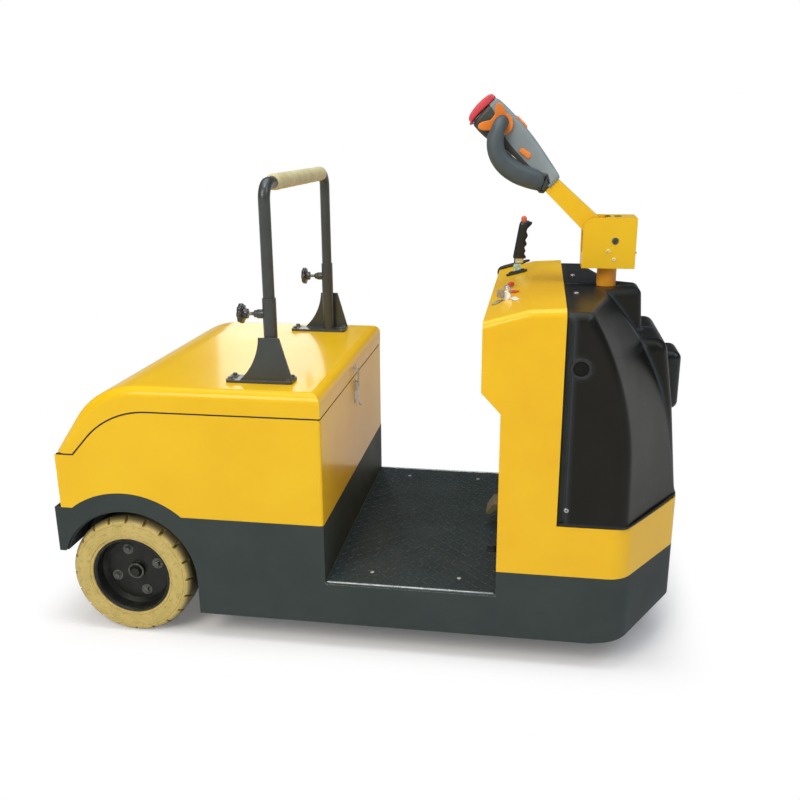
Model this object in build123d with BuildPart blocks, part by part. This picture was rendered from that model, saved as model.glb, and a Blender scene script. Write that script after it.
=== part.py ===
"""Stand-on three-wheel electric tow tractor for airport baggage.

Millimetres. +X is forward, +Y is the driver's left, +Z is up. The origin lies on the
ground under the middle of the vehicle. Each block below makes one named sub-part.
"""
from build123d import *
from math import acos, cos, radians, sin, tan
import os

os.makedirs("parts", exist_ok=True)

# Overall layout, from the rear axle forwards
WIDTH = 960.0
HALF = WIDTH / 2
REAR_AXLE_X = -680.0
WHEELBASE = 1415.0
STEER_X = REAR_AXLE_X + WHEELBASE
FRONT_OVERHANG = 230.0
NOSE_X = STEER_X + FRONT_OVERHANG
NOSE_LENGTH = 170.0
FLANK_END_X = NOSE_X - NOSE_LENGTH
NOSE_HALF = 216.0
COVER_SETBACK = 129.0
COVER_X = STEER_X - COVER_SETBACK
CONSOLE_LENGTH = 164.0
FOOT_X = COVER_X - CONSOLE_LENGTH
CONSOLE_LIP = 54.0
CONSOLE_X = FOOT_X - CONSOLE_LIP
PLATFORM_LENGTH = 504.0
BOX_FRONT_X = FOOT_X - PLATFORM_LENGTH
BOX_OVERHANG = 204.0
BOX_REAR_X = REAR_AXLE_X - BOX_OVERHANG
BUMPER_PROUD = 21.0
BUMPER_X = BOX_REAR_X - BUMPER_PROUD

# Heights
SKIRT_Z = 85.0
NOSE_RISE = 42.0
BUMPER_Z = 267.0
STEP_Z = 221.0
BAND_Z = 295.0
BELT_Z = 403.0
REAR_BELT_Z = 413.0
COVER_Z = 447.0
BOX_HEIGHT = 324.0
SEAM_Z = BELT_Z + BOX_HEIGHT
SEAM_DROP = 143.0
SEAM_REAR_Z = SEAM_Z - SEAM_DROP
LID_HEIGHT = 75.0
LID_TOP_Z = SEAM_Z + LID_HEIGHT
COVER_HEIGHT = 603.0
DECK_Z = COVER_Z + COVER_HEIGHT

# Stock thicknesses and fits
PLATE = 8.0
SHEET = 5.0
MAT = 6.0
SEAT = 0.3
RUN_FIT = 0.05
MOVE_GAP = 6.0
PANEL_GAP = 2.0

# Plan corner radii of the body
FLANK_R = 80.0
NOSE_R = 60.0
EDGE_R = 25.0

# Rear wheels
TYRE_R = 192.5
TYRE_WIDTH = 118.0
RIM_R = 124.0
SHOULDER = 12.0
LUGS = 20
LUG_GAP = 7.0
LUG_DEPTH = 10.0
LUG_LENGTH = 28.0
TREAD_FACETS = 3 * LUGS
ARCH_GAP = 25.5
ARCH_R = TYRE_R + ARCH_GAP
ARCH_BAND = 59.0
BAND_R = ARCH_R + ARCH_BAND
SPINDLE_R = 17.5
DISH = 50.0
HUB_R = 27.0
HUB_PROUD = 12.0
CAP_R = 19.0
CAP_PROUD = 10.0
BOLT_CIRCLE = 145.0
BOLTS = 4
BOLT_R = 9.0
BOLT_HEIGHT = 9.0
DRUM_R = 92.0
AXLE_BEAM = 60.0
WELL_CLEAR = 17.0
WELL_DEPTH = TYRE_WIDTH + WELL_CLEAR

# Battery lid
LID_ARC_R = 235.0
LID_ARC_X = BOX_REAR_X + LID_ARC_R + 34
LID_SLOPE = 55.5
SEAM_ARC_R = 260.0
SEAM_ARC_X = BOX_REAR_X + SEAM_ARC_R + 44
SEAM_SLOPE = 48.0
SEAM_GAP = 5.0
BOX_CORNER_R = 8.0
LID_EDGE_R = 30.0
HINGE_INSET = 220.0
HINGE_Y = HALF - HINGE_INSET
HINGE_LENGTH = 90.0
KNUCKLE_R = 7.0
HINGE_PIN_R = 3.5
LEAF = 3.0
LEAF_REACH = 42.0

# Battery
TRAY_Z = 100.0
BATTERY_SIDE_GAP = 72.0
BATTERY_END_GAP = 14.0
BATTERY_TOP_GAP = 67.0
BATTERY_WIDTH = WIDTH - 2 * (PLATE + BATTERY_SIDE_GAP)
BATTERY_HEIGHT = SEAM_Z - BATTERY_TOP_GAP - TRAY_Z

# Backrest
LEG_SETBACK = 170.0
LEG_X = BOX_FRONT_X - LEG_SETBACK
LEG_INSET = 125.0
LEG_Y = HALF - LEG_INSET
LEG_R = 17.0
SOCKET_WALL = 3.0
SOCKET_R = LEG_R + SOCKET_WALL
SOCKET_HEIGHT = 248.0
SOCKET_TOP_Z = LID_TOP_Z + SOCKET_HEIGHT
BACKREST_HEIGHT = 566.0
BAR_TOP_Z = LID_TOP_Z + BACKREST_HEIGHT
BAR_BEND_R = 45.0
SOCKET_HOLD = 135.0
LEG_END_Z = SOCKET_TOP_Z - SOCKET_HOLD
GRIP_R = 21.0
GRIP_START_GAP = 83.0
GRIP_END_GAP = 50.0
GRIP_START_Y = GRIP_START_GAP - LEG_Y
GRIP_END_Y = LEG_Y - GRIP_END_GAP
FOOT_PLATE_LENGTH = 202.0
FOOT_PLATE_WIDTH = 66.0
FOOT_PLATE_X = LEG_X - FOOT_PLATE_LENGTH / 2 + FOOT_PLATE_WIDTH
FOOT_PLATE = 8.0
GUSSET = 6.0
GUSSET_HEIGHT = 136.0
GUSSET_TOP_Z = LID_TOP_Z + GUSSET_HEIGHT
GUSSET_TOP_WIDTH = 62.0
GUSSET_BASE_WIDTH = 160.0
KNOB_DROP = 47.0
KNOB_Z = SOCKET_TOP_Z - KNOB_DROP
KNOB_R = 32.0
KNOB_LOBES = 7
KNOB_THICK = 13.0
KNOB_HUB_R = 15.0
KNOB_HUB = 15.0
STUD_R = 5.0
STUD_LENGTH = 18.0
BOSS_R = 13.0
BOSS_LENGTH = 26.0

# Drive unit and steering
DRIVE_R = 125.0
DRIVE_WIDTH = 80.0
DRIVE_TREAD = 22.0
TURNTABLE_R = 98.0
FLANGE_R = 122.0
FLANGE = 14.0
MOTOR_R = 78.0
MOTOR_HEIGHT = 290.0
MOTOR_TOP_Z = BAND_Z + SEAT + FLANGE + MOTOR_HEIGHT
GEARCASE = 40.0
GEARCASE_R = 62.0
COLUMN_R = 29.5

# Tiller housing and arm
COLUMN_RISE = 58.0
TILLER_LENGTH = 156.0
TILLER_HEIGHT = 149.0
TILLER_FRONT_X = STEER_X + 76
TILLER_BACK_X = TILLER_FRONT_X - TILLER_LENGTH
TILLER_BASE_Z = DECK_Z + COLUMN_RISE
TILLER_TOP_Z = TILLER_BASE_Z + TILLER_HEIGHT
TILLER_WIDTH = 130.0
TILLER_SHEET = 4.0
TILLER_CORNER_R = 36.0
TOP_PLATE_LENGTH = 89.0
TOP_PLATE_X = TILLER_FRONT_X - TOP_PLATE_LENGTH
SILL_HEIGHT = 42.0
REAR_SILL_Z = TILLER_BASE_Z + SILL_HEIGHT
PIVOT_SETBACK = 61.0
PIVOT_X = TILLER_FRONT_X - PIVOT_SETBACK
PIVOT_DROP = 67.0
PIVOT_Z = TILLER_TOP_Z - PIVOT_DROP
PIVOT_R = 9.0
ARM_TILT = 43.5
ARM_END_R = 31.0
ARM_SIDE_GAP = 8.0
ARM_WIDTH = TILLER_WIDTH - 2 * (TILLER_SHEET + ARM_SIDE_GAP)
ARM_TENON = 22.0
HEAD_START = 255.0
HEAD_LENGTH = 291.0
HEAD_END = HEAD_START + HEAD_LENGTH
HEAD_WIDTH = 76.0
HEAD_CROWN = 46.0
HEAD_DEPTH = 56.0
HEAD_EDGE_R = 9.0
BUTTON_REACH = 27.0
HANDLE_R = 21.0
HANDLE_BEND_R = 38.0
HANDLE_ROOT = HEAD_END - 66
HANDLE_RUN = 150.0
HANDLE_REACH = 58.0

# Towing gear
TOW_PLATE_WIDTH = 190.0
TOW_PLATE_HEIGHT = 130.0
TOW_PLATE = 12.0
TOW_HOLE_R = 7.5
TOW_HOLE_Y = 140.0
TOW_HOLE_Z = 80.0
TOW_Z = (BUMPER_Z + REAR_BELT_Z) / 2
PLATE_X = BUMPER_X - TOW_PLATE
JAW_LENGTH = 52.0
JAW_END_X = PLATE_X - JAW_LENGTH
JAW_WIDTH = 84.0
JAW_MOUTH = 46.0
JAW_PLATE = 14.0
TOW_PIN_R = 10.0
PIN_INSET = 26.0
PIN_X = JAW_END_X + PIN_INSET

AXLE_Z = TYRE_R
LENGTH_AXIS = Axis((REAR_AXLE_X, 0, AXLE_Z), (0, 1, 0))


def finish(builder, name):
    """Label a finished piece and write its file."""
    builder.part.label = name
    export_step(builder.part, f"parts/{name}.step")


def at_y(y):
    """Upright plane across the vehicle at y, with local x forward and local y up."""
    return Plane(origin=(0, y, 0), x_dir=(1, 0, 0), z_dir=(0, -1, 0))


def plan(rear_x, inset=0.0):
    """Outline of the body from above, from rear_x to the nose, drawn in by inset."""
    corners = [(rear_x, HALF), (FLANK_END_X, HALF), (NOSE_X, NOSE_HALF)]
    with BuildSketch(Plane.XY) as outline:
        with BuildLine():
            Polyline(*corners, *[(x, -y) for x, y in reversed(corners)], close=True)
        make_face()
        flank = [v for v in outline.vertices() if abs(v.X - FLANK_END_X) < 1]
        fillet(flank, FLANK_R)
        front = [v for v in outline.vertices() if abs(v.X - NOSE_X) < 1]
        fillet(front, NOSE_R)
        if inset:
            offset(amount=-inset)
    return outline.sketch


def box_between(low, high, mode=Mode.ADD):
    """Plain block from its lowest to its highest corner."""
    size = [b - a for a, b in zip(low, high)]
    middle = tuple((a + b) / 2 for a, b in zip(low, high))
    with Locations(middle):
        Box(*size, mode=mode)


def seam_points(gap):
    """Points of the lid seam, raised by gap: front, arc start, middle and end, corner."""
    arc_r = SEAM_ARC_R + gap
    centre = (SEAM_ARC_X, SEAM_Z - SEAM_ARC_R)
    ends = [
        (centre[0] - arc_r * sin(radians(turn)), centre[1] + arc_r * cos(radians(turn)))
        for turn in (0, SEAM_SLOPE / 2, SEAM_SLOPE)
    ]
    drop = ends[2][1] - SEAM_REAR_Z - gap
    corner = (ends[2][0] - drop / tan(radians(SEAM_SLOPE)), SEAM_REAR_Z + gap)
    return [(BOX_FRONT_X, SEAM_Z + gap), *ends, corner]


def seam_line(gap, rear_x):
    """Draw the lid seam, raised by gap, from the front face to rear_x."""
    front, start, middle, end, corner = seam_points(gap)
    Line(front, start)
    ThreePointArc(start, middle, end)
    Polyline(end, corner, (rear_x, corner[1]))


def lid_rear_x(inset):
    """Where the lid's rear slope, drawn in by inset, meets its lower edge."""
    arc_r = LID_ARC_R - inset
    x = LID_ARC_X - arc_r * sin(radians(LID_SLOPE))
    z = LID_TOP_Z - LID_ARC_R + arc_r * cos(radians(LID_SLOPE))
    return x - (z - SEAM_REAR_Z - SEAM_GAP) / tan(radians(LID_SLOPE))


def lid_roof(inset, front_z, rear_z):
    """Draw the lid's roof line, drawn in by inset, from its front edge to its rear edge."""
    top = LID_TOP_Z - inset
    arc_r = LID_ARC_R - inset
    centre_z = LID_TOP_Z - LID_ARC_R
    points = [
        (LID_ARC_X - arc_r * sin(radians(turn)), centre_z + arc_r * cos(radians(turn)))
        for turn in (0, LID_SLOPE / 2, LID_SLOPE)
    ]
    rear_x = lid_rear_x(inset) + (SEAM_REAR_Z + SEAM_GAP - rear_z) / -tan(radians(LID_SLOPE))
    Polyline((BOX_FRONT_X - inset, front_z), (BOX_FRONT_X - inset, top), points[0])
    ThreePointArc(*points)
    Line(points[2], (rear_x, rear_z))


CROSS_HALF = 30.0
CROSS_DEPTH = 45.0
# Chassis frame: skirt plates, cross walls, battery floor and drive mounting plate
STEP_TOP_Z = STEP_Z - MAT
with BuildPart() as chassis_frame:
    with BuildSketch(Plane.XZ) as side:
        with BuildLine():
            Polyline(
                (BUMPER_X, SKIRT_Z),
                (FLANK_END_X - FLANK_R, SKIRT_Z),
                (NOSE_X, SKIRT_Z + NOSE_RISE),
                (NOSE_X, BAND_Z),
                (FOOT_X, BAND_Z),
                (FOOT_X, STEP_TOP_Z),
                (BOX_FRONT_X, STEP_TOP_Z),
                (BOX_FRONT_X, BELT_Z),
                (REAR_AXLE_X, BELT_Z),
                (REAR_AXLE_X, REAR_BELT_Z),
                (BUMPER_X, REAR_BELT_Z),
                close=True,
            )
        make_face()
        with Locations((REAR_AXLE_X, AXLE_Z)):
            Circle(BAND_R)
            Circle(ARCH_R, mode=Mode.SUBTRACT)
            Rectangle(ARCH_R, 2 * BAND_R, align=(Align.MIN, Align.MAX), mode=Mode.SUBTRACT)
        with Locations((REAR_AXLE_X, BUMPER_Z)):
            Rectangle(WIDTH, WIDTH, align=(Align.MAX, Align.MAX), mode=Mode.SUBTRACT)
        with Locations((REAR_AXLE_X, SKIRT_Z)):
            Rectangle(2 * WIDTH, WIDTH, align=(Align.CENTER, Align.MAX), mode=Mode.SUBTRACT)
    extrude(amount=HALF, both=True)
    with BuildSketch():
        add(plan(BUMPER_X))
    extrude(amount=DECK_Z, mode=Mode.INTERSECT)
    with BuildSketch():
        add(plan(BUMPER_X, PLATE))
    extrude(amount=DECK_Z, mode=Mode.SUBTRACT)
    inner = HALF - PLATE
    box_between((BOX_FRONT_X - PLATE, -inner, SKIRT_Z), (BOX_FRONT_X, inner, BELT_Z))
    box_between((FOOT_X, -inner, SKIRT_Z), (FOOT_X + PLATE, inner, BAND_Z))
    well_x = REAR_AXLE_X + ARCH_R
    box_between((well_x, -inner, SKIRT_Z), (well_x + PLATE, inner, BELT_Z))
    box_between((well_x, -inner, TRAY_Z - PLATE), (BOX_FRONT_X, inner, TRAY_Z))
    for share in (0.3, 0.7):
        x = BOX_FRONT_X + PLATFORM_LENGTH * share
        box_between((x - CROSS_HALF, -inner, STEP_TOP_Z - CROSS_DEPTH), (x + CROSS_HALF, inner, STEP_TOP_Z))
    with BuildSketch(Plane.XY.offset(BAND_Z - PLATE)):
        add(plan(COVER_X - 60, PLATE))
        with Locations((STEER_X, 0)):
            Circle(TURNTABLE_R + RUN_FIT, mode=Mode.SUBTRACT)
    extrude(amount=PLATE)
    hole_z = [TOW_Z - TOW_HOLE_Z / 2, TOW_Z + TOW_HOLE_Z / 2]
    for z in hole_z:
        for y in (-TOW_HOLE_Y / 2, TOW_HOLE_Y / 2):
            with Locations(Location((BUMPER_X, y, z), (0, 90, 0))):
                Cylinder(TOW_HOLE_R, 4 * PLATE, mode=Mode.SUBTRACT)
finish(chassis_frame, "chassis_frame")

# Wheelhouses: inner plates that carry the axle, with liners that roof the wheels
WELL_Y = HALF - WELL_DEPTH
with BuildPart() as wheelhouses:
    with BuildSketch(at_y(WELL_Y)):
        with Locations((REAR_AXLE_X, AXLE_Z)):
            Circle(ARCH_R)
            Circle(SPINDLE_R + PANEL_GAP, mode=Mode.SUBTRACT)
            Rectangle(WIDTH, WIDTH, align=(Align.CENTER, Align.MAX), mode=Mode.SUBTRACT)
        with Locations((REAR_AXLE_X, AXLE_Z - AXLE_BEAM)):
            Rectangle(2 * ARCH_R - 2, AXLE_BEAM, align=(Align.CENTER, Align.MIN))
        with Locations((REAR_AXLE_X, AXLE_Z)):
            Circle(SPINDLE_R + PANEL_GAP, mode=Mode.SUBTRACT)
    extrude(amount=PLATE)
    with BuildSketch(at_y(WELL_Y)):
        with Locations((REAR_AXLE_X, AXLE_Z)):
            Circle(ARCH_R)
            Circle(ARCH_R - SHEET, mode=Mode.SUBTRACT)
            Rectangle(WIDTH, WIDTH, align=(Align.CENTER, Align.MAX), mode=Mode.SUBTRACT)
        with Locations((REAR_AXLE_X, BUMPER_Z)):
            Rectangle(WIDTH, WIDTH, align=(Align.MAX, Align.MAX), mode=Mode.SUBTRACT)
    extrude(amount=-(WELL_DEPTH - PLATE - SEAT))
    mirror(about=Plane.XZ)
finish(wheelhouses, "wheelhouses")

# Rear axle: square beam between the wheelhouse plates, with a spindle at each end
with BuildPart() as rear_axle:
    with BuildSketch(Plane.XZ):
        with Locations((REAR_AXLE_X, AXLE_Z)):
            Rectangle(AXLE_BEAM, AXLE_BEAM)
    extrude(amount=WELL_Y - PLATE, both=True)
    with BuildSketch(Plane.XZ):
        with Locations((REAR_AXLE_X, AXLE_Z)):
            Circle(SPINDLE_R)
    extrude(amount=HALF - DISH + PANEL_GAP, both=True)
finish(rear_axle, "rear_axle")

# Battery box: sheet walls from the belt line up to the lid seam
with BuildPart() as battery_box:
    with BuildSketch(Plane.XZ):
        with BuildLine():
            seam_line(0, BOX_REAR_X)
            Polyline(
                (BOX_REAR_X, SEAM_REAR_Z),
                (BOX_REAR_X, REAR_BELT_Z),
                (REAR_AXLE_X, REAR_BELT_Z),
                (REAR_AXLE_X, BELT_Z),
                (BOX_FRONT_X, BELT_Z),
                (BOX_FRONT_X, SEAM_Z),
            )
        make_face()
        with Locations((REAR_AXLE_X, AXLE_Z)):
            Circle(BAND_R + SEAT, mode=Mode.SUBTRACT)
    extrude(amount=HALF, both=True)
    corners = battery_box.edges().filter_by(Axis.Z).group_by(Axis.X)[-1]
    fillet(corners, BOX_CORNER_R)
    low = (BOX_REAR_X + SHEET, -HALF + SHEET, 0)
    high = (BOX_FRONT_X - SHEET, HALF - SHEET, LID_TOP_Z)
    box_between(low, high, Mode.SUBTRACT)
finish(battery_box, "battery_box")

# Seal: rubber strip in the seam, between the box's rim and the lid
SEAL_RECESS = 1.5
with BuildPart() as lid_seal:
    with BuildSketch(Plane.XZ):
        with BuildLine():
            seam_line(0, BOX_REAR_X + SHEET)
            seam_line(SEAM_GAP - SEAT, BOX_REAR_X + SHEET)
            Line(seam_points(0)[0], seam_points(SEAM_GAP - SEAT)[0])
            Line((BOX_REAR_X + SHEET, SEAM_REAR_Z), (BOX_REAR_X + SHEET, SEAM_REAR_Z + SEAM_GAP - SEAT))
        make_face()
    extrude(amount=HALF - SEAL_RECESS, both=True)
    low = (BOX_REAR_X, -HALF + SHEET, 0)
    high = (BOX_FRONT_X - SHEET, HALF - SHEET, LID_TOP_Z)
    box_between(low, high, Mode.SUBTRACT)
    low = (BOX_FRONT_X - SEAL_RECESS, -HALF, 0)
    high = (BOX_FRONT_X + SHEET, HALF, LID_TOP_Z)
    box_between(low, high, Mode.SUBTRACT)
finish(lid_seal, "lid_seal")

# Battery: one heavy block on its tray
with BuildPart() as battery:
    low = (well_x + PLATE + BATTERY_END_GAP, -BATTERY_WIDTH / 2, TRAY_Z)
    high = (BOX_FRONT_X - PLATE - BATTERY_END_GAP, BATTERY_WIDTH / 2, TRAY_Z + BATTERY_HEIGHT)
    box_between(low, high)
finish(battery, "battery")

# Platform plate: chequered tread plate that the driver stands on
with BuildPart() as platform_plate:
    box_between((BOX_FRONT_X, -HALF, STEP_TOP_Z), (FOOT_X, HALF, STEP_Z))
    rim = platform_plate.edges().filter_by(Axis.X).group_by(Axis.Z)[-1]
    fillet(rim, MAT / 3)
finish(platform_plate, "platform_plate")

# Front body: sheet console with a band that wraps round below the cover
CONSOLE_TOP_Z = DECK_Z + 10
CONSOLE_CREASE_Z = CONSOLE_TOP_Z - 5
CONSOLE_BACK_Z = CONSOLE_CREASE_Z - 35
CONSOLE_LIP_Z = CONSOLE_BACK_Z - 193
CONSOLE_KNEE_Z = CONSOLE_LIP_Z - 58
CONSOLE_CREASE_X = CONSOLE_X + 122
CONSOLE_EDGE_R = 22.0
SLOT_X = CONSOLE_X + 68
SLOT_INSET = 225.0
SLOT_Y = HALF - SLOT_INSET
SLOT_LENGTH = 64.0
SLOT_WIDTH = 16.0
slant = (CONSOLE_CREASE_Z - CONSOLE_BACK_Z) / (CONSOLE_CREASE_X - CONSOLE_X)


def slant_z(x):
    """Height of the console's sloping top at x."""
    return CONSOLE_BACK_Z + (x - CONSOLE_X) * slant


def console_form(inset, low_z, end_x):
    """Solid inside the console's sheet, drawn in by inset, from low_z up and on to end_x."""
    foot_x = FOOT_X + inset
    back_x = CONSOLE_X + inset
    with BuildPart() as form:
        with BuildSketch(Plane.XZ):
            with BuildLine():
                Polyline(
                    (foot_x, low_z),
                    (foot_x, CONSOLE_KNEE_Z + inset / 2),
                    (back_x, CONSOLE_LIP_Z + inset / 2),
                    (back_x, CONSOLE_BACK_Z - inset),
                    (CONSOLE_CREASE_X, CONSOLE_CREASE_Z - inset),
                    (COVER_X, CONSOLE_TOP_Z - inset),
                    (end_x, CONSOLE_TOP_Z - inset),
                    (end_x, low_z),
                    close=True,
                )
            make_face()
        extrude(amount=HALF - inset, both=True)
        sides = form.faces().filter_by(Axis.Y).edges()
        fillet([e for e in sides if e.center().Z > CONSOLE_BACK_Z - inset - 1 and e.length > 1], CONSOLE_EDGE_R - inset)
    return form.part


with BuildPart() as front_body:
    add(console_form(0, BAND_Z, NOSE_X))
    box_between((COVER_X, -HALF, COVER_Z), (NOSE_X, HALF, CONSOLE_TOP_Z), Mode.SUBTRACT)
    with BuildSketch():
        add(plan(CONSOLE_X))
    extrude(amount=CONSOLE_TOP_Z, mode=Mode.INTERSECT)
    with BuildSketch():
        add(plan(CONSOLE_X, SHEET))
    inner_plan = extrude(amount=CONSOLE_TOP_Z, mode=Mode.PRIVATE)
    add(console_form(SHEET, 0, NOSE_X) & inner_plan, mode=Mode.SUBTRACT)
    box_between(
        (SLOT_X - SLOT_LENGTH / 2, SLOT_Y - SLOT_WIDTH / 2, CONSOLE_BACK_Z - CONSOLE_EDGE_R),
        (SLOT_X + SLOT_LENGTH / 2, SLOT_Y + SLOT_WIDTH / 2, CONSOLE_TOP_Z),
        Mode.SUBTRACT,
    )
finish(front_body, "front_body")

# Front cover: two moulded shells that meet on the centre line. Their outside is a spine
# that leans back to the deck, a flank at each side joined to it by a slanting face, a
# snout low on the centre and a prow round the steering column.
COVER_WALL = 14.0
COVER_HALF = HALF - 3
COVER_RUN = COVER_X + PANEL_GAP
COVER_BASE_Z = COVER_Z + SEAT
SPINE_HALF = 200.0
SPINE_X = NOSE_X - PANEL_GAP
SPINE_BEND = 207.0
SPINE_LEAN = 35.0
SPINE_SETBACK = 237.0
FLANK_BEND = 173.0
FLANK_LEAN = 3.0
FLANK_SETBACK = 127.0
COVER_EDGE_R = 26.0
SNOUT_RISE = 474.0
SNOUT_BEND = 279.0
SNOUT_LEAN = 30.0
SNOUT_SETBACK = 60.0
SNOUT_TOP_Z = COVER_Z + SNOUT_RISE
SNOUT_EDGE_R = 34.0
PROW_LENGTH = 110.0
PROW_X = SPINE_X - SPINE_SETBACK + PROW_LENGTH
PROW_HALF = 58.0
PROW_ROOT_HALF = 122.0
PROW_DRAFT = 12.0
PROW_Z = SNOUT_TOP_Z - 41
PROW_EDGE_R = 20.0
FLANGE_WIDTH = 20.0
FLANGE_STEP = 7.0
RECESS_R = 21.0
RECESS_RIM_R = 28.0
RECESS_RIM = 2.5
RECESS_DEPTH = 8.0
RECESS_X = COVER_X + 44
RECESS_Z = DECK_Z - 148


def cover_body(wall):
    """The cover's spine and flanks, drawn in by wall, open at the foot and rear if hollow."""
    base_z = COVER_BASE_Z - 2 * wall
    top_z = DECK_Z - wall
    rear_x = COVER_RUN - 2 * wall
    flank = (FLANK_END_X, FLANK_LEAN, FLANK_BEND, FLANK_SETBACK)
    spine = (SPINE_X, SPINE_LEAN, SPINE_BEND, SPINE_SETBACK)
    sections = (
        (-COVER_HALF + wall, *flank),
        (-SPINE_HALF, *spine),
        (SPINE_HALF, *spine),
        (COVER_HALF - wall, *flank),
    )
    with BuildPart() as form:
        for y, front_x, lean, bend, set_back in sections:
            foot = (front_x - wall, base_z)
            knee = (front_x - wall - lean, COVER_Z + bend)
            top = (front_x - wall - set_back, top_z)
            with BuildSketch(at_y(y)):
                with BuildLine():
                    Polyline(top, (rear_x, top_z), (rear_x, base_z), foot, knee)
                    TangentArc(knee, top, tangent=(-lean, bend))
                make_face()
        loft(ruled=True)
    return form.part


def flank_edges(part):
    """The cover's edges round each flank, apart from its foot and its rear edge."""
    flank = [f.edges() for f in (part.faces().sort_by(Axis.Y)[0], part.faces().sort_by(Axis.Y)[-1])]
    edges = [e for group in flank for e in group]
    return [e for e in edges if e.center().X > COVER_RUN + 1 and e.center().Z > COVER_BASE_Z + 1]


with BuildPart() as cover_outside:
    add(cover_body(0))
    fillet(flank_edges(cover_outside.part), COVER_EDGE_R)
    with BuildPart(mode=Mode.PRIVATE) as snout:
        with BuildSketch(Plane.XZ):
            with BuildLine():
                Polyline(
                    (COVER_RUN, COVER_BASE_Z),
                    (NOSE_X, COVER_BASE_Z),
                    (NOSE_X - SNOUT_LEAN, COVER_Z + SNOUT_BEND),
                    (NOSE_X - SNOUT_SETBACK, SNOUT_TOP_Z),
                    (COVER_RUN, SNOUT_TOP_Z),
                    close=True,
                )
            make_face()
        extrude(amount=SPINE_HALF, both=True)
        sides = snout.faces().filter_by(Axis.Y).edges()
        rim = [e for e in sides if e.center().X > COVER_RUN + 1 and e.center().Z > COVER_BASE_Z + 1]
        brow = snout.edges().filter_by(Axis.Y).group_by(Axis.Z)[-1].sort_by(Axis.X)[-1]
        fillet([*rim, brow], SNOUT_EDGE_R)
    add(snout.part)
    with BuildPart(mode=Mode.PRIVATE) as prow:
        for z, draft in ((PROW_Z, PROW_DRAFT), (DECK_Z, 0)):
            with BuildSketch(Plane.XY.offset(z)):
                root_x = SPINE_X - SPINE_SETBACK
                rim = [
                    (root_x - PROW_HALF, PROW_ROOT_HALF),
                    (root_x, PROW_ROOT_HALF),
                    (PROW_X + draft, PROW_HALF),
                ]
                with BuildLine():
                    Polyline(*rim, *[(x, -y) for x, y in reversed(rim)], close=True)
                make_face()
        loft(ruled=True)
        nose_edges = [e for e in prow.edges() if e.center().X > root_x + 1 and e.center().Z > PROW_Z + 1]
        fillet(nose_edges, PROW_EDGE_R)
    add(prow.part)
    for y in (-HALF, HALF):
        with Locations((COVER_RUN, y, (COVER_Z + DECK_Z) / 2)):
            Box(
                2 * FLANGE_WIDTH,
                2 * (FLANGE_STEP + HALF - COVER_HALF),
                2 * COVER_HEIGHT,
                mode=Mode.SUBTRACT,
            )
    with Locations((RECESS_X, 0, RECESS_Z)):
        ring = (90, 0, 0)
        Cylinder(RECESS_RIM_R, 2 * (COVER_HALF + RECESS_RIM), rotation=ring)
        for y in (-COVER_HALF, COVER_HALF):
            with Locations((0, y, 0)):
                Cylinder(RECESS_R, 2 * RECESS_DEPTH, rotation=ring, mode=Mode.SUBTRACT)

cover_inside = cover_body(COVER_WALL)
for name, sign in (("cover_right", -1), ("cover_left", 1)):
    with BuildPart() as cover:
        add(cover_outside.part)
        add(cover_inside, mode=Mode.SUBTRACT)
        with Locations((STEER_X, 0, DECK_Z)):
            Cylinder(COLUMN_R + MOVE_GAP, 2 * (DECK_Z - PROW_Z + 2 * COVER_WALL), mode=Mode.SUBTRACT)
        low = (BUMPER_X, min(0, -sign * WIDTH), 0)
        high = (NOSE_X + WIDTH, max(0, -sign * WIDTH), 2 * DECK_Z)
        box_between(low, high, Mode.SUBTRACT)
        box_between((BUMPER_X, -PANEL_GAP / 2, 0), (NOSE_X + WIDTH, PANEL_GAP / 2, 2 * DECK_Z), Mode.SUBTRACT)
    finish(cover, name)

# Head lamp: moulded pod on the snout, with a clear lens let into its face
LAMP_PROUD = 4.0
LAMP_DEPTH = 69.0
LAMP_FRONT_X = NOSE_X + LAMP_PROUD
LAMP_ROOT_X = LAMP_FRONT_X - LAMP_DEPTH
LAMP_WIDTH = 150.0
LAMP_HEIGHT = 184.0
LAMP_RISE = 229.0
LAMP_LOW_Z = COVER_Z + LAMP_RISE
LAMP_HIGH_Z = LAMP_LOW_Z + LAMP_HEIGHT
LENS_DEPTH = 6.0
LENS_RIM = 27.0
LAMP_EDGE_R = 24.0
with BuildPart() as head_lamp:
    box_between((LAMP_ROOT_X, -LAMP_WIDTH / 2, LAMP_LOW_Z), (LAMP_FRONT_X, LAMP_WIDTH / 2, LAMP_HIGH_Z))
    fillet(head_lamp.edges().filter_by(Axis.X), EDGE_R)
    front = head_lamp.faces().sort_by(Axis.X)[-1]
    fillet(front.edges(), LAMP_EDGE_R)
    with BuildSketch(Plane.YZ.offset(LAMP_FRONT_X)) as lens_hole:
        with Locations((0, (LAMP_LOW_Z + LAMP_HIGH_Z) / 2)):
            RectangleRounded(
                LAMP_WIDTH - 2 * LENS_RIM, LAMP_HIGH_Z - LAMP_LOW_Z - 2 * LENS_RIM, EDGE_R / 2
            )
    extrude(amount=-LENS_DEPTH, mode=Mode.SUBTRACT)
    add(cover_outside.part, mode=Mode.SUBTRACT)
finish(head_lamp, "head_lamp")

with BuildPart() as head_lamp_lens:
    with BuildSketch(Plane.YZ.offset(LAMP_FRONT_X - LENS_DEPTH)):
        with Locations((0, (LAMP_LOW_Z + LAMP_HIGH_Z) / 2)):
            RectangleRounded(
                LAMP_WIDTH - 2 * LENS_RIM - SEAT,
                LAMP_HIGH_Z - LAMP_LOW_Z - 2 * LENS_RIM - SEAT,
                EDGE_R / 2,
            )
    extrude(amount=LENS_DEPTH - 1)
finish(head_lamp_lens, "head_lamp_lens")

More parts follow.
